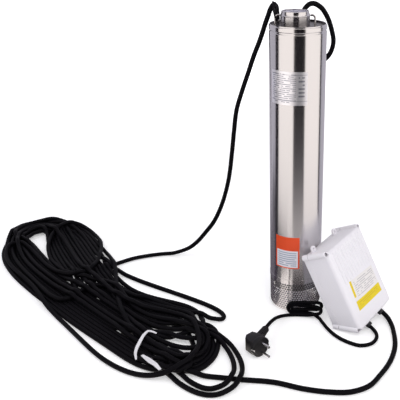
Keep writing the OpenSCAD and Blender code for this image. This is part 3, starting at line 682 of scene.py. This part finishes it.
def groove(r):
    """The rolled groove in a wall of this radius, from its lower end."""
    return [(r - GROOVE_DEEP * math.sin(a) ** 2, GROOVE_Z - GROOVE_H / 2 * math.cos(a))
            for a in np.linspace(0, math.pi, 13)]


outer = [(SHELL_R, SHELL_LOW)] + [(SHELL_R, z) for z in range(90, 520, 30)] + groove(SHELL_R)
rim = [(SHELL_R, 535.6)] + arc(46.9, 536.4, 2.1, 12, 62) + arc(47.3, 539.2, 0.8, 60, 120)
rim += [(46.6, 539.5), (BORE_R, DECK_Z)]
inner = groove(BORE_R)[::-1] + [(BORE_R, SHELL_LOW)]
piece("pump_shell", mesh_of(lathe(outer + rim + inner, segments=192)), "stainless", "outer_shell")

# %% [markdown]
# The strainer is a pressed cup of perforated sheet. One cell of the sheet, a square with a round
# hole, is repeated in rows, every other row half a cell further, and the flat sheet is then wrapped
# round the cup: the first part of its height goes round the lower edge, the rest straight up.
# The holes are real, because a painted pattern looks flat where the sheet bends.

# %% Strainer
# The back of the sheet is unpolished, and its near-black colour also paints the shade inside the cup, so the
# holes look dark.
unpolished_inside_and_shade = grained("strainer_inside", (0.012, 0.010, 0.011), (0.03, 0.026, 0.027), (0.6, 0.8), 300)
ROUND, COLUMNS, ROWS, ROW_H, FIRST, HOLE, SHEET_T = 11.0, 63, 15, 4.5, 1.2, 2.05, 1.2
CELL_W = 2 * math.pi * SHELL_R / COLUMNS
square = [(-1, -1), (-0.36, -1), (0.36, -1), (1, -1), (1, -0.36), (1, 0.36)]
square += [(-x, -y) for x, y in square]
cell_points = [(x * CELL_W / 2, y * ROW_H / 2, 0) for x, y in square]
cell_points += [(HOLE * x / math.hypot(x, y), HOLE * y / math.hypot(x, y), 0) for x, y in square]
sides = len(square)
cell_faces = [(k, (k + 1) % sides, sides + (k + 1) % sides, sides + k) for k in range(sides)]
cell = draft(mesh_of((cell_points, cell_faces)))


def perforated(tree, given):
    """Cells in rows, wrapped round the cup."""
    index = tree.add("GeometryNodeInputIndex")
    row = index.maths("FLOOR", index / given["Columns"])
    column = index - row * given["Columns"]
    offset = (row - 2 * index.maths("FLOOR", row / 2)) * 0.5
    place = tree.add("ShaderNodeCombineXYZ", {},
                     {0: (column + offset) * given["Width"], 1: row * given["Height"]})
    points = tree.add("GeometryNodePoints", {}, {0: given["Columns"] * given["Rows"], 1: place})
    shape = tree.add("GeometryNodeObjectInfo", {}, {"Object": given["Cell"]}, "Geometry")
    sheet = tree.add("GeometryNodeInstanceOnPoints", {}, {"Points": points, "Instance": shape})
    flat = tree.add("GeometryNodeRealizeInstances", {}, {0: sheet})
    along, height, _ = tree.parts(tree.add("GeometryNodeInputPosition"))
    up = height + given["First"]
    turn = along / given["Radius"]
    quarter = given["Rounding"] * (math.pi / 2)
    lean = up.maths("MINIMUM", up, quarter) / given["Rounding"] - math.pi / 2
    r = given["Radius"] - given["Rounding"] + given["Rounding"] * lean.cos()
    z = given["Rounding"] + given["Rounding"] * lean.sin() + up.maths("MAXIMUM", up - quarter, 0)
    cup = tree.add("ShaderNodeCombineXYZ", {}, {0: r * turn.cos(), 1: r * turn.sin(), 2: z})
    bent = tree.add("GeometryNodeSetPosition", {}, {"Geometry": flat, "Position": cup})
    return tree.add("GeometryNodeMergeByDistance", {}, {"Geometry": bent, "Distance": 2e-5})


sheet = grown("perforated_sheet", perforated, finishes["stainless"], Cell=cell, Columns=COLUMNS, Rows=ROWS,
              Width=CELL_W * MM, Height=ROW_H * MM, Radius=SHELL_R * MM, Rounding=ROUND * MM,
              First=(FIRST + ROW_H / 2) * MM)
bpy.data.objects.remove(cell)
sheet.materials.append(unpolished_inside_and_shade.material)
sheet = thickened(sheet, SHEET_T, 1)
low = [(SHELL_R - ROUND + ROUND * math.sin(a), ROUND - ROUND * math.cos(a)) for a in np.linspace(0, 0.2, 4)]
foot = [(0, 0)] + low + [(low[-1][0] - 0.2, low[-1][1] + SHEET_T), (low[0][0], SHEET_T), (0, SHEET_T)]
ring = [(47.9, 62.4), (49.1, 62.4), (49.45, 62.9), (49.45, 71.7), (49.3, 72), (49.1, 72)]
ring += [(49.1, SHELL_LOW), (47.9, SHELL_LOW)]
ends =mesh_of(lathe(foot), lathe(ring, segments=192))
piece("strainer_cup", joined(sheet, ends), "stainless", "strainer", angle=14,
      finish=[finishes["stainless"], unpolished_inside_and_shade])

# %% [markdown]
# Screws come in sets. One screw head with a cross slot is made by a lathe and a cut, and a tree
# puts a copy at every screw's place with its own direction.

# %% Screws
def turned(degrees, axis):
    return Matrix.Rotation(math.radians(degrees), 4, axis)


def shift(x, y, z):
    return Matrix.Translation((x, y, z))


def screw_head(r, h):
    """A pan head with a cross, its foot at the origin, pointing up."""
    side = [(0, -1), (r * 0.55, -1), (r * 0.55, 0), (r, 0), (r, h * 0.4)]
    dome = arc(r - h * 0.6, h * 0.4, h * 0.6, 20, 90)
    head = mesh_of(lathe(side + dome + [(0, h)], segments=32))
    for x, y in ((r * 0.6, r * 0.13), (r * 0.13, r * 0.6)):
        bar = [(-x, -y), (x, -y), (x, y), (-x, y)]
        head = cut(head, mesh_of(loft([[(*c, z) for c in bar] for z in (h * 0.45, h + 1)])))
    return head


def copies(name, mesh, places, slot, *stands_for):
    """A piece made of copies of a mesh, one at each place; a place is a matrix in millimetres."""
    spots = bpy.data.meshes.new("spots")
    spots.from_pydata([place.translation * MM for place in places], [], [])
    directions = spots.attributes.new("turn", "FLOAT_VECTOR", "POINT")
    directions.data.foreach_set("vector", [angle for place in places for angle in place.to_euler()])
    shape, dots = draft(mesh), draft(spots)

    def fill(tree, given):
        points = tree.add("GeometryNodeObjectInfo", {}, {"Object": given["Spots"]}, "Geometry")
        form = tree.add("GeometryNodeObjectInfo", {}, {"Object": given["Shape"]}, "Geometry")
        turn = tree.add("GeometryNodeInputNamedAttribute", {"data_type": "FLOAT_VECTOR"}, {"Name": "turn"})
        rotation = tree.add("FunctionNodeEulerToRotation", {}, {0: turn})
        return tree.add("GeometryNodeInstanceOnPoints", {},
                        {"Points": points, "Instance": form, "Rotation": rotation})

    result = grown(name, fill, finishes[slot], Spots=dots, Shape=shape)
    for obj in (shape, dots):
        bpy.data.objects.remove(obj)
    return piece(name, result, slot, *stands_for)


SCREW_Z = 55
copies("foot_screws", screw_head(3.6, 1.8),
       [turned(a, "Z") @ shift(SHELL_R, 0, SCREW_Z) @ turned(90, "Y") for a in (-147, -27, 93)],
       "bright_steel", "strainer_screws")

# %% [markdown]
# The outlet stands off the middle to leave room for the cable. It is a drawn neck with a bead, a
# drawn-in lip and a thread inside. The deck round it has a dark colour: painted shade and painted dark
# reflection inside the rim.
# The thread is a row of rings, because its slope is too small to be seen.

# %% Outlet
NECK = (-4.8, -2.0)
NECK_LOW, THREAD_TOP, HALF_PITCH, HALF_TURNS = DECK_Z - 4, 558.9, 1.15, 15
# A dark colour on the deck: painted shade and painted dark reflection inside the rim.
deck_painted_shade = grained("deck", (0.05, 0.042, 0.045), (0.11, 0.095, 0.10), (0.22, 0.34), 250, bump=0.1,
                      Metallic=0.9)
thread_finish = grained("thread", (0.55, 0.54, 0.62), (0.66, 0.65, 0.74), (0.45, 0.6), 500, (1, 1, 20), 0.1,
                        Metallic=0.25)
neck = [(24, NECK_LOW), (25, NECK_LOW), (25, 551.8)] + arc(24.9, 553, 1.0, -80, 80, 8)
neck += [(24.6, 554.4), (24.0, 556.0), (23.2, 557.6)]
neck += arc(22.1, 559.6, 0.9, -10, 90, 6) + arc(20.4, 559.9, 0.6, 90, 180, 4)
neck += [(20.6, THREAD_TOP), (20.6, NECK_LOW)]
piece("outlet_neck", mesh_of(lathe(neck, NECK)), "stainless", "discharge_head")
crests = [(19.6 + (0.7 if k % 2 else 0), THREAD_TOP - HALF_PITCH * k) for k in range(HALF_TURNS)]
liner = [(20.7, THREAD_TOP), (20.7, NECK_LOW), (17, NECK_LOW), (17, 541)] + crests[::-1]
piece("outlet_thread", mesh_of(lathe(liner[::-1], NECK)), "stainless", finish=[thread_finish])
deck = [(0, 531.5), (47.3, 531.5), (47.3, DECK_Z - 0.6), (46.7, DECK_Z), (0, DECK_Z)]
passage = lathe([(0, 520), (18, 520), (18, 545), (0, 545)], NECK)
piece("head_deck", cut(mesh_of(lathe(deck)), mesh_of(passage)), "stainless", finish=[deck_painted_shade])

# %% [markdown]
# ## Plates on the shell
# The nameplate and the sticker are thin foils that follow the shell, so each is a strip of faces
# bent round it, with its own coordinates from corner to corner. Their print is made of plain lines
# and fields over those coordinates, so it needs no picture file.

# %% Foils
FOIL_T, FOIL_R = 0.1, SHELL_R + 0.12


def foil(name, turn, height, finish, r=FOIL_R, steps=40):
    """A foil on the shell between two directions, in degrees from the front, and two heights."""
    angles = np.radians(np.linspace(*turn, steps))
    form = bmesh.new()
    layer = form.loops.layers.uv.new("print")
    grid = [[form.verts.new((r * math.sin(a) * MM, -r * math.cos(a) * MM, z * MM)) for z in height]
            for a in angles]
    for i in range(steps - 1):
        face = form.faces.new([grid[i][0], grid[i + 1][0], grid[i + 1][1], grid[i][1]])
        for loop, (u, v) in zip(face.loops, ((i, 0), (i + 1, 0), (i + 1, 1), (i, 1))):
            loop[layer].uv = (u / (steps - 1), v)
    return piece(name, thickened(mesh_from(form), FOIL_T), None, finish=[finish])


def printed(name, paint, **constants):
    """A finish whose colour is a print over the foil's coordinates."""
    finish = Finish(name, **constants)
    u, v, _ = finish.parts(finish.add("ShaderNodeTexCoord", out="UV"))
    grain = finish.noise(finish.where, 800)
    return finish.feed("Base Color", paint(finish, u, v)).feed("Roughness", 0.28 + 0.15 * grain)


def lines(finish, u, v, count, breaks, filled=0.42):
    """Thin lines across, broken in places as rows of a table are."""
    stripe = u.maths("FRACT", v * count).within(0.3, 0.72)
    place = finish.add("ShaderNodeCombineXYZ", {}, {0: u * breaks, 1: u.maths("FLOOR", v * count) * 3.7})
    gaps = finish.add("ShaderNodeTexNoise", {}, {"Vector": place, "Scale": 1.0, "Detail": 1.0}, "Fac")
    return stripe * (gaps > filled)


def plate_print(finish, u, v):
    silver, ink = (0.86, 0.85, 0.90, 1), (0.22, 0.23, 0.30, 1)
    table = lines(finish, u, v, 17, 9) * u.within(0.05, 0.72) * v.within(0.06, 0.94)
    column = lines(finish, u, v, 9, 5) * u.within(0.78, 0.93) * v.within(0.2, 0.85)
    rules = v.within(0.90, 0.915) + v.within(0.12, 0.135)
    return finish.mix((table + column) * 0.8 + rules * 0.6, silver, ink)


def sticker_print(finish, u, v):
    orange, white, ink = (0.72, 0.075, 0.02, 1), (0.74, 0.73, 0.78, 1), (0.18, 0.25, 0.36, 1)
    panel = u.within(0.06, 0.94) * v.within(0.035, 0.57)
    rows = lines(finish, u, v, 15, 4, 0.3) * u.within(0.12, 0.88) * v.within(0.08, 0.53)
    return finish.mix(panel, orange, finish.mix(rows * 0.75, white, ink))


foil("nameplate", (-62, 19), (411, 468), printed("nameplate", plate_print, Metallic=0.85))
foil("sticker", (-49, 7), (97, 162), printed("sticker", sticker_print, Specular_IOR_Level=0.3))

# %% [markdown]
# ## The control box
# The box leans on the shell, so it is made in its own frame, x along its width, y up its back and z
# out of its front, and then set down. Its outline is a rounded rectangle whose lower side runs
# down towards the front. Rings of that outline, one above the other, give the two halves.

# %% Box frame and outline
BOX_AT, BOX_TURN, BOX_LEAN, BOX_ROLL = (103.851, -50.335, 5.082), 53, 26, 5
BOX = shift(*BOX_AT) @ turned(BOX_TURN, "Z") @ turned(90 - BOX_LEAN, "X") @ turned(BOX_ROLL, "Z")
BOX_W, BOX_L, BOX_D, SLOPE = 120.0, 147.0, 59.0, 14.0
BASE_TOP, COVER_LOW, COLUMN_TOP, POCKET = 14.6, 14.9, 54.0, 49.0
COLUMN_R, POCKET_R, WALL = 5.6, 3.8, 2.5


def low_side(z):
    """Where the lower wall is at a depth; it runs down towards the front."""
    return -SLOPE * z / BOX_D


def outline(inset, z, r=5.0):
    """The box's outline, drawn in by an inset, at a depth."""
    w, low, top = BOX_W / 2 - inset, inset + low_side(z), BOX_L - inset
    r = max(r - inset, 1.5)
    bends = ((w - r, low + r, -90), (w - r, top - r, 0), (r - w, top - r, 90), (r - w, low + r, 180))
    return [(*p, z) for x, y, start in bends for p in arc(x, y, r, start, start + 90, 5)]


TILT = math.degrees(math.atan(SLOPE / BOX_D))
POSTS = [shift(x, y, 0) @ turned(tilt, "X") for x in (-58, 58) for y, tilt in ((145.6, 0), (3, TILT))]


def column(low, top):
    """A screw column, with a round pocket if it reaches the front."""
    side = [(0, low), (COLUMN_R, low)] + arc(COLUMN_R - 1.2, top - 1.2, 1.2, 0, 90, 4)
    end = [(POCKET_R, top), (POCKET_R, POCKET), (0, POCKET)] if top > POCKET else [(0, top)]
    return lathe(side + end, segments=48)


print("box", BOX_W, "x", BOX_L, "x", BOX_D, "mm, leaning", BOX_LEAN, "degrees,", len(POSTS), "screw columns")

# %% [markdown]
# The cover is a deep tray with a soft front edge. The four screw columns bulge out of its corners
# and end in round pockets, which are cut into the tray as well. The back half is a shallow tray
# with two ears to hang it up by.

# %% Cover and base
FILLET = 7.5
soft_edge = [(FILLET * (1 - math.cos(a)), BOX_D - FILLET * (1 - math.sin(a)))
             for a in np.radians(np.linspace(0, 90, 10))]
tray = [(8, BOX_D - WALL), (WALL, 50), (WALL, COVER_LOW), (0, COVER_LOW), (0, 40)] + soft_edge
pocket = lathe([(0, POCKET), (POCKET_R, POCKET), (POCKET_R, 75), (0, 75)], segments=48)
tray_mesh = cut(mesh_of(placed(loft([outline(*ring) for ring in tray]), BOX)),
                mesh_of(*[placed(pocket, BOX @ post) for post in POSTS]))
columns = mesh_of(*[placed(column(COVER_LOW, COLUMN_TOP), BOX @ post) for post in POSTS])
piece("box_lid", joined(tray_mesh, columns), "box_white", "box_cover", angle=40)


def ear(x, y=152.5, r=6.0, hole=2.25, low=11, top=14):
    """A flat tab with a screw hole: outer and inner rings share their directions."""
    outer, inner = [], []
    for a in np.radians(np.arange(0, 360, 10)):
        c, s = math.cos(a), math.sin(a)
        reach = r if s >= 0 else min(r / max(abs(c), 1e-6), 6.5 / abs(s))
        outer.append((x + reach * c, y + reach * s))
        inner.append((x + hole * c, y + hole * s))
    walls = ((outer, low), (outer, top), (inner, top), (inner, low), (outer, low))
    return loft([[(*p, z) for p in line] for line, z in walls], closed=False)


back = [(1.5, 0), (0.5, 0.4), (0, 1.5), (0, BASE_TOP), (WALL, BASE_TOP), (WALL, WALL)]
base_parts = [loft([outline(*ring) for ring in back]), ear(-37), ear(37)]
for post in POSTS:
    points, faces = placed(column(1.6, BASE_TOP), post)
    base_parts.append(([(x, max(y, 0.5 + low_side(z)), z) for x, y, z in points], faces))
piece("box_back", mesh_of(*[placed(part, BOX) for part in base_parts]), "box_white", "box_base", angle=40)

# %% [markdown]
# Screws sit in the pockets, and raised ribs cover the upper half of the front. Both are copies of
# one small form.

# %% Cover screws and ribs
RIB_LOW, RIB_TOP, RIB_PITCH = 79, 140, 9
RIB_STEPS = ((1.6, 58.6), (1.55, 59.8), (1.4, 60.1), (1.0, 60.2))


def stadium(w, low, top, z):
    """A long ring with round ends."""
    return [(x, y, z) for x, y in arc(0, low, w, 180, 360, 8) + arc(0, top, w, 0, 180, 8)]


copies("lid_screws", screw_head(3.3, 2.2), [BOX @ post @ shift(0, 0, POCKET) for post in POSTS],
       "bright_steel", "cover_screws")
copies("lid_ribs", mesh_of(loft([stadium(w, RIB_LOW, RIB_TOP, z) for w, z in RIB_STEPS])),
       [BOX @ shift(RIB_PITCH * k, 0, 0) for k in range(-5, 6)], "box_white")

# %% [markdown]
# The label is a foil on the front: pale, with a yellow strip and plain lines. It uses the print of
# the other foils on a flat sheet of four corners.

# %% Label
LABEL_T, LABEL_Z = 0.12, BOX_D + 0.14


def label_print(finish, u, v):
    paper, yellow, ink = (0.80, 0.77, 0.76, 1), (0.78, 0.60, 0.015, 1), (0.42, 0.40, 0.42, 1)
    rows = lines(finish, u, v, 15, 6) * u.within(0.14, 0.96) * v.within(0.38, 0.95)
    field = 1 - (v > 0.32) + u.within(0.0, 0.075) * v.within(0.45, 1.0)
    field_rows = lines(finish, u, v, 15, 9) * u.within(0.1, 0.9) * v.within(0.1, 0.28)
    shown = finish.mix(field, finish.mix(rows * 0.7, paper, ink), yellow)
    return finish.mix(field_rows * 0.45, shown, (0.45, 0.30, 0.02, 1))


def flat_foil(name, corners, z, finish):
    """A thin sheet on the box's front with its own coordinates."""
    mesh = mesh_of(([tuple(BOX @ Vector((x, y, z))) for x, y in corners], [(0, 1, 2, 3)]))
    layer = mesh.uv_layers.new(name="print")
    layer.data.foreach_set("uv", (0, 0, 1, 0, 1, 1, 0, 1))
    return piece(name, thickened(mesh, LABEL_T), None, finish=[finish])


flat_foil("box_label", [(-41, 20), (42, 17), (42, 71), (-37, 77)], LABEL_Z,
          printed("box_label", label_print, Specular_IOR_Level=0.25))

# %% [markdown]
# The glands at the box's lower side are rubber sleeves with rings, turned on the lathe.

# %% Box glands
GLAND_X, GLAND_Z, GLAND_TILT = 23, 44, 50
gland = [(0, -6)] + arc(0, 0, 8.5, -45, 42, 10)
for k in range(4):
    r, z = 6.3 - 0.1 * k, 6.4 + 2 * k
    gland += [(r, z), (r + 0.3, z + 0.6), (r, z + 1.2), (5.7, z + 1.6)]
gland += [(5.6, 14), (0, 14)]
for side, name in ((-1, "mains"), (1, "pump")):
    way = BOX @ shift(side * GLAND_X, low_side(GLAND_Z), GLAND_Z) @ turned(GLAND_TILT, "X")
    piece("box_sleeve_" + name, mesh_of(placed(lathe(gland, segments=48), way)), "gland_plastic",
          "box_gland_" + name)

# %% [markdown]
# ## The plug
# A moulded rubber plug: a round face with two notches for the earth clips, a grip with soft edges
# and a ringed sleeve that keeps the lead from kinking. Face and sleeve come from the lathe. The
# grip is an outline with a thickness, and a Bevel modifier rounds all its edges at once.

# %% Plug
PLUG = shift(-61.7, -184.4, 18.5) @ turned(-45.5, "Z")
RELIEF = PLUG @ shift(-24, 13, 0) @ turned(21.5, "Z") @ turned(-90, "X")
disc = [(0, -9)] + arc(17.3, -7.8, 1.2, -90, 0, 4) + arc(17.1, -1.4, 1.4, 0, 90, 4)
disc += [(14.5, 0), (14.2, -0.5), (0, -0.5)]


def notch(side):
    """A cutter for one notch; the order of its corners keeps its faces pointing outwards."""
    corners = [(-2.7, 15.9), (2.7, 15.9), (2.7, 20), (-2.7, 20)][::-side]
    return placed(loft([[(x, side * out, across) for across, out in corners] for x in (-10, 2)]), PLUG)


face = cut(mesh_of(placed(lathe(disc, segments=96), PLUG @ turned(90, "Y"))), mesh_of(notch(1), notch(-1)))
hand = [(-7, -15), (-7, 16), (-12, 17), (-15, 16), (-34, 9), (-34, -6), (-27, -14)]
grip = draft(mesh_of(placed(loft([[(x, y, z) for x, y in hand] for z in (-13, 13)]), PLUG)))
soft = grip.modifiers.new("soft", "BEVEL")
soft.width, soft.segments, soft.limit_method = 2.4 * MM, 4, "NONE"
plug_finish = grained("plug_rubber", (0.004, 0.0037, 0.005), (0.008, 0.0075, 0.01), (0.38, 0.5), 500,
                      bump=0.3, Specular_IOR_Level=0.3)
plug = piece("plug_moulding", joined(face, plain(grip)), "cord_rubber", "plug_body", angle=40,
             finish=[plug_finish])
rings = [(0, -2), (8, -2), (8, 5)]
for k in range(6):
    r, z = 8.0 - 0.22 * k, 6 + 4.5 * k
    rings += [(r - 1.1, z), (r - 1.0, z + 1.4), (r - 0.2, z + 1.8), (r, z + 2.4), (r - 0.1, z + 3.6),
              (r - 0.5, z + 4.1)]
rings += [(4.4, 33), (0, 33)]
sleeve = piece("plug_sleeve", mesh_of(placed(lathe(rings, segments=48), RELIEF)), "cord_rubber",
               "plug_relief", finish=[plug_finish])

# %% [markdown]
# ## Ties
# A white strip holds the hank: one part goes over the turns, the other is its loose end. It lies on
# the settled turns, so its height is read off them. A thin black cord ties the cable's fold to the
# left lifting eye.

# %% Ties
def top_of_cable(x, y, reach=9):
    """The height of the turns at a place, or just over the floor where there is none."""
    near = np.hypot(cable_points[:, 0] - x, cable_points[:, 1] - y) < reach
    return cable_points[near, 2].max() + CABLE_D / 2 if near.any() else 1.0


def strip(route, width, thick):
    """A flat band along a route, widest in the middle."""
    p = even(route, 3)
    along = np.gradient(p, axis=0)
    across = np.cross(along, (0, 0, 1))
    across /= np.linalg.norm(across, axis=1)[:, None]
    half = width / 2 * (0.45 + 0.55 * np.sin(np.linspace(0.1, math.pi - 0.1, len(p))))[:, None]
    up = np.array((0, 0, thick))
    return loft([[tuple(q) for q in (c - a, c + a, c + a + up, c - a + up)]
                 for c, a in zip(p, across * half)])


def laid_strip(line, width):
    """A strip that lies on the turns under it and spans the gaps between them."""
    route = np.array([(x, y, top_of_cable(x, y)) for x, y in even([(*q, 0) for q in line], 8)[:, :2]])
    for _ in range(6):
        route[1:-1, 2] = np.maximum(route[1:-1, 2], (route[:-2, 2] + route[2:, 2]) / 2)
    route[:, 2] += 0.4
    return strip(route, width, 1.0)


def thin_cord(route, r, across, corners=8):
    """A thin cord along a route that runs about square to one direction."""
    line = even(route, 1.2)
    angles = np.linspace(0, 2 * math.pi, corners, endpoint=False)
    circles = []
    for c, along in zip(line, np.gradient(line, axis=0)):
        up = np.cross(along, across)
        up /= np.linalg.norm(up)
        circles.append([tuple(c + r * (math.cos(a) * up + math.sin(a) * across)) for a in angles])
    return loft(circles)


TIE = [(-274, -213), (-279, -192), (-278, -179), (-272, -161), (-263, -144), (-250, -148)]
TIE_END = [(-266, -202), (-256, -214), (-243, -230), (-227, -248)]
EYE_LOOP = [
    (-42, 17, 572), (-42, 9, 566), (-39.5, 0, 555), (-37, -5, 548), (-35, -2, 544.5), (-34, 3, 549),
    (-36, 14, 557), (-38, 22, 563), (-40, 22, 570), (-42, 17, 572),
]
tie = piece("hank_strip", mesh_of(laid_strip(TIE, 6), laid_strip(TIE_END, 9)), "tie_white", "hank_tie")
eye_tie = piece("eye_tie", mesh_of(thin_cord(EYE_LOOP, 1.5, np.array((1.0, 0, 0)))), "cord_rubber")

# %% [markdown]
# ## Camera, floor and light
# The camera was fitted to the rim's ellipse and to the foot. The floor is white for the camera.
# A polished tube shows its surroundings as upright bands, so what the steel sees has sectors: dark
# towards the camera, cream beside it, a dark strip at each side and pale lilac behind. Only glossy
# rays meet them. Panels round the pump could do the same, but they would also change the light
# on the box and the cords.

# %% Camera
eye = bpy.data.objects.new("eye", bpy.data.cameras.new("eye"))
scene.collection.objects.link(eye)
eye.location = (-0.0286, -1.1493, 0.7188)
eye.rotation_euler = (math.radians(66.4), 0, 0)
eye.data.lens, eye.data.sensor_width, eye.data.shift_x = 60.5, 36, -0.202
scene.camera = eye
scene.view_settings.view_transform = "Standard"
print("camera", [round(c, 2) for c in eye.location], "lens", round(eye.data.lens, 1), "mm")

# %% What the steel sees
LILAC, CREAM, BLACK = (0.58, 0.56, 0.615, 1), (1.36, 1.28, 1.20, 1), (0.004, 0.003, 0.004, 1)
STRIP_DARK = (0.012, 0.009, 0.012, 1)


def sectors(tree, x, y, dark_share):
    """What the steel sees in each direction, counted in degrees from the front, and the direction."""
    around = x.maths("ARCTAN2", x, 0 - y) * (180 / math.pi)
    creamy = around.ease(-84, -79) * (1 - around.ease(99, 104))
    strips = around.within(-99, -82) + around.within(101, 111)
    dark = around.ease(-19, -13) * (1 - around.ease(27, 32)) * dark_share
    seen = tree.mix(creamy, LILAC, CREAM)
    seen = tree.mix(strips, seen, STRIP_DARK)
    return tree.mix(dark, seen, BLACK), around


# %% Floor
HAZE, BRIGHT = (0.45, 0.41, 0.46, 1), (1.5, 1.39, 1.3, 1)
DUSK, SHADE = (0.09, 0.075, 0.10, 1), (0.03, 0.022, 0.027, 1)
GLOW_NEAR, GLOW_FAR = (0.35, 0.35, 0.35, 1), (0.95, 0.95, 0.95, 1)
FLOOR_HALF, FLOOR_Z = 9000, -0.1


def floor_tone(floor, x, y, far):
    """The colour of the floor in the steel: the sectors, and painted bright and dark patches close to the
    foot, with the box's shadow among them.
    """
    seen, around = sectors(floor, x, y, far.ease(0.26, 0.70))
    seen = floor.mix(far.ease(0.14, 0.3) * (1 - far.ease(0.3, 1.0)) * 0.35, seen, HAZE)
    # Near the foot: a painted bright patch, a painted dark patch on the left, and the box's painted shadow on
    # its side.
    seen = floor.mix((1 - far.ease(0.14, 0.25)) * around.ease(-62, -56), seen, BRIGHT)
    left = 1 - (around + 60 + 22 * far.ease(0.1, 0.5)).ease(-5, 5)
    seen = floor.mix((1 - far.ease(0.2, 0.75)) * left * 0.85, seen, DUSK)
    shade = (1 - far.ease(0.16, 0.36)) * around.ease(-22, -8) * (1 - around.ease(95, 110))
    return floor.mix(shade, seen, SHADE)


def floor_finish():
    """A white floor for the camera, and a toned one for glossy rays."""
    floor = Finish("floor", Base_Color=(0.9, 0.9, 0.9, 1), Roughness=1.0, Specular_IOR_Level=0.0)
    x, y, _ = floor.parts(floor.where)
    far = x.maths("SQRT", x * x + y * y)
    camera_ray, glossy_ray = floor.rays()
    mirror = floor.add("ShaderNodeEmission", {}, {"Color": floor_tone(floor, x, y, far), "Strength": 1.0})
    glowing = floor.mix(far.ease(0.7, 2.2), GLOW_NEAR, GLOW_FAR)
    glow = floor.add("ShaderNodeEmission", {}, {"Color": glowing, "Strength": 1.0})
    base = Socket(floor, floor.surface.outputs[0])
    lit = floor.add("ShaderNodeAddShader", {}, {0: base, 1: glow})
    shown = floor.add("ShaderNodeMixShader", {}, {0: camera_ray, 1: base, 2: lit})
    both = floor.add("ShaderNodeMixShader", {}, {0: glossy_ray, 1: shown, 2: mirror})
    floor.tree.links.new(both.out, floor.tree.nodes["Material Output"].inputs["Surface"])
    return floor


corners = [(x * FLOOR_HALF, y * FLOOR_HALF, FLOOR_Z) for x, y in ((-1, -1), (1, -1), (1, 1), (-1, 1))]
ground_mesh = mesh_of((corners, [(0, 1, 2, 3)]))
ground = bpy.data.objects.new("floor", ground_mesh)
scene.collection.objects.link(ground)
ground_mesh.materials.append(floor_finish().material)

# %% World and lamps
WHITE, LOW_SKY, HIGH_SKY = (1.2, 1.2, 1.2, 1), (0.76, 0.755, 0.78, 1), (0.46, 0.455, 0.49, 1)
LAMPS = {
    "key": ((0.3, -1.3, 1.9), (-0.2, 0, 0.1), 1.6, 14, (1, 0.99, 0.97)),
    "side": ((1.7, -1.2, 0.9), (0.1, 0, 0.1), 1.2, 9, (1, 0.985, 0.965)),
    "fill": ((-1.8, -0.4, 1.6), (-0.2, 0, 0.1), 1.4, 8, (0.96, 0.96, 1)),
    "back": ((0.4, 1.8, 1.8), (-0.2, 0, 0.1), 1.4, 8, (0.97, 0.97, 1)),
}
world = bpy.data.worlds.new("studio")
scene.world = world
world.use_nodes = True
sky = Tree(world.node_tree)
camera_ray, glossy_ray = sky.rays()
x, y, upwards = sky.parts(sky.add("ShaderNodeTexCoord", out="Generated"))
seen, _ = sectors(sky, x, y, 1 - upwards.ease(0.8, 0.98))
tone = sky.mix(glossy_ray, sky.mix(upwards.ease(0.1, 0.9), LOW_SKY, HIGH_SKY), seen)
tone = sky.mix(camera_ray, tone, WHITE)
world.node_tree.links.new(tone.out, world.node_tree.nodes["Background"].inputs["Color"])
for name, (place, aim, size, power, colour) in LAMPS.items():
    data = bpy.data.lights.new(name, "AREA")
    data.shape, data.size, data.energy, data.color = "DISK", size, power, colour
    lamp = bpy.data.objects.new(name, data)
    scene.collection.objects.link(lamp)
    lamp.location = place
    lamp.rotation_euler = (Vector(aim) - Vector(place)).to_track_quat("-Z", "Y").to_euler()
    lamp.visible_glossy = False
print(len(LAMPS), "lamps,", sum(lamp[3] for lamp in LAMPS.values()), "W in all")
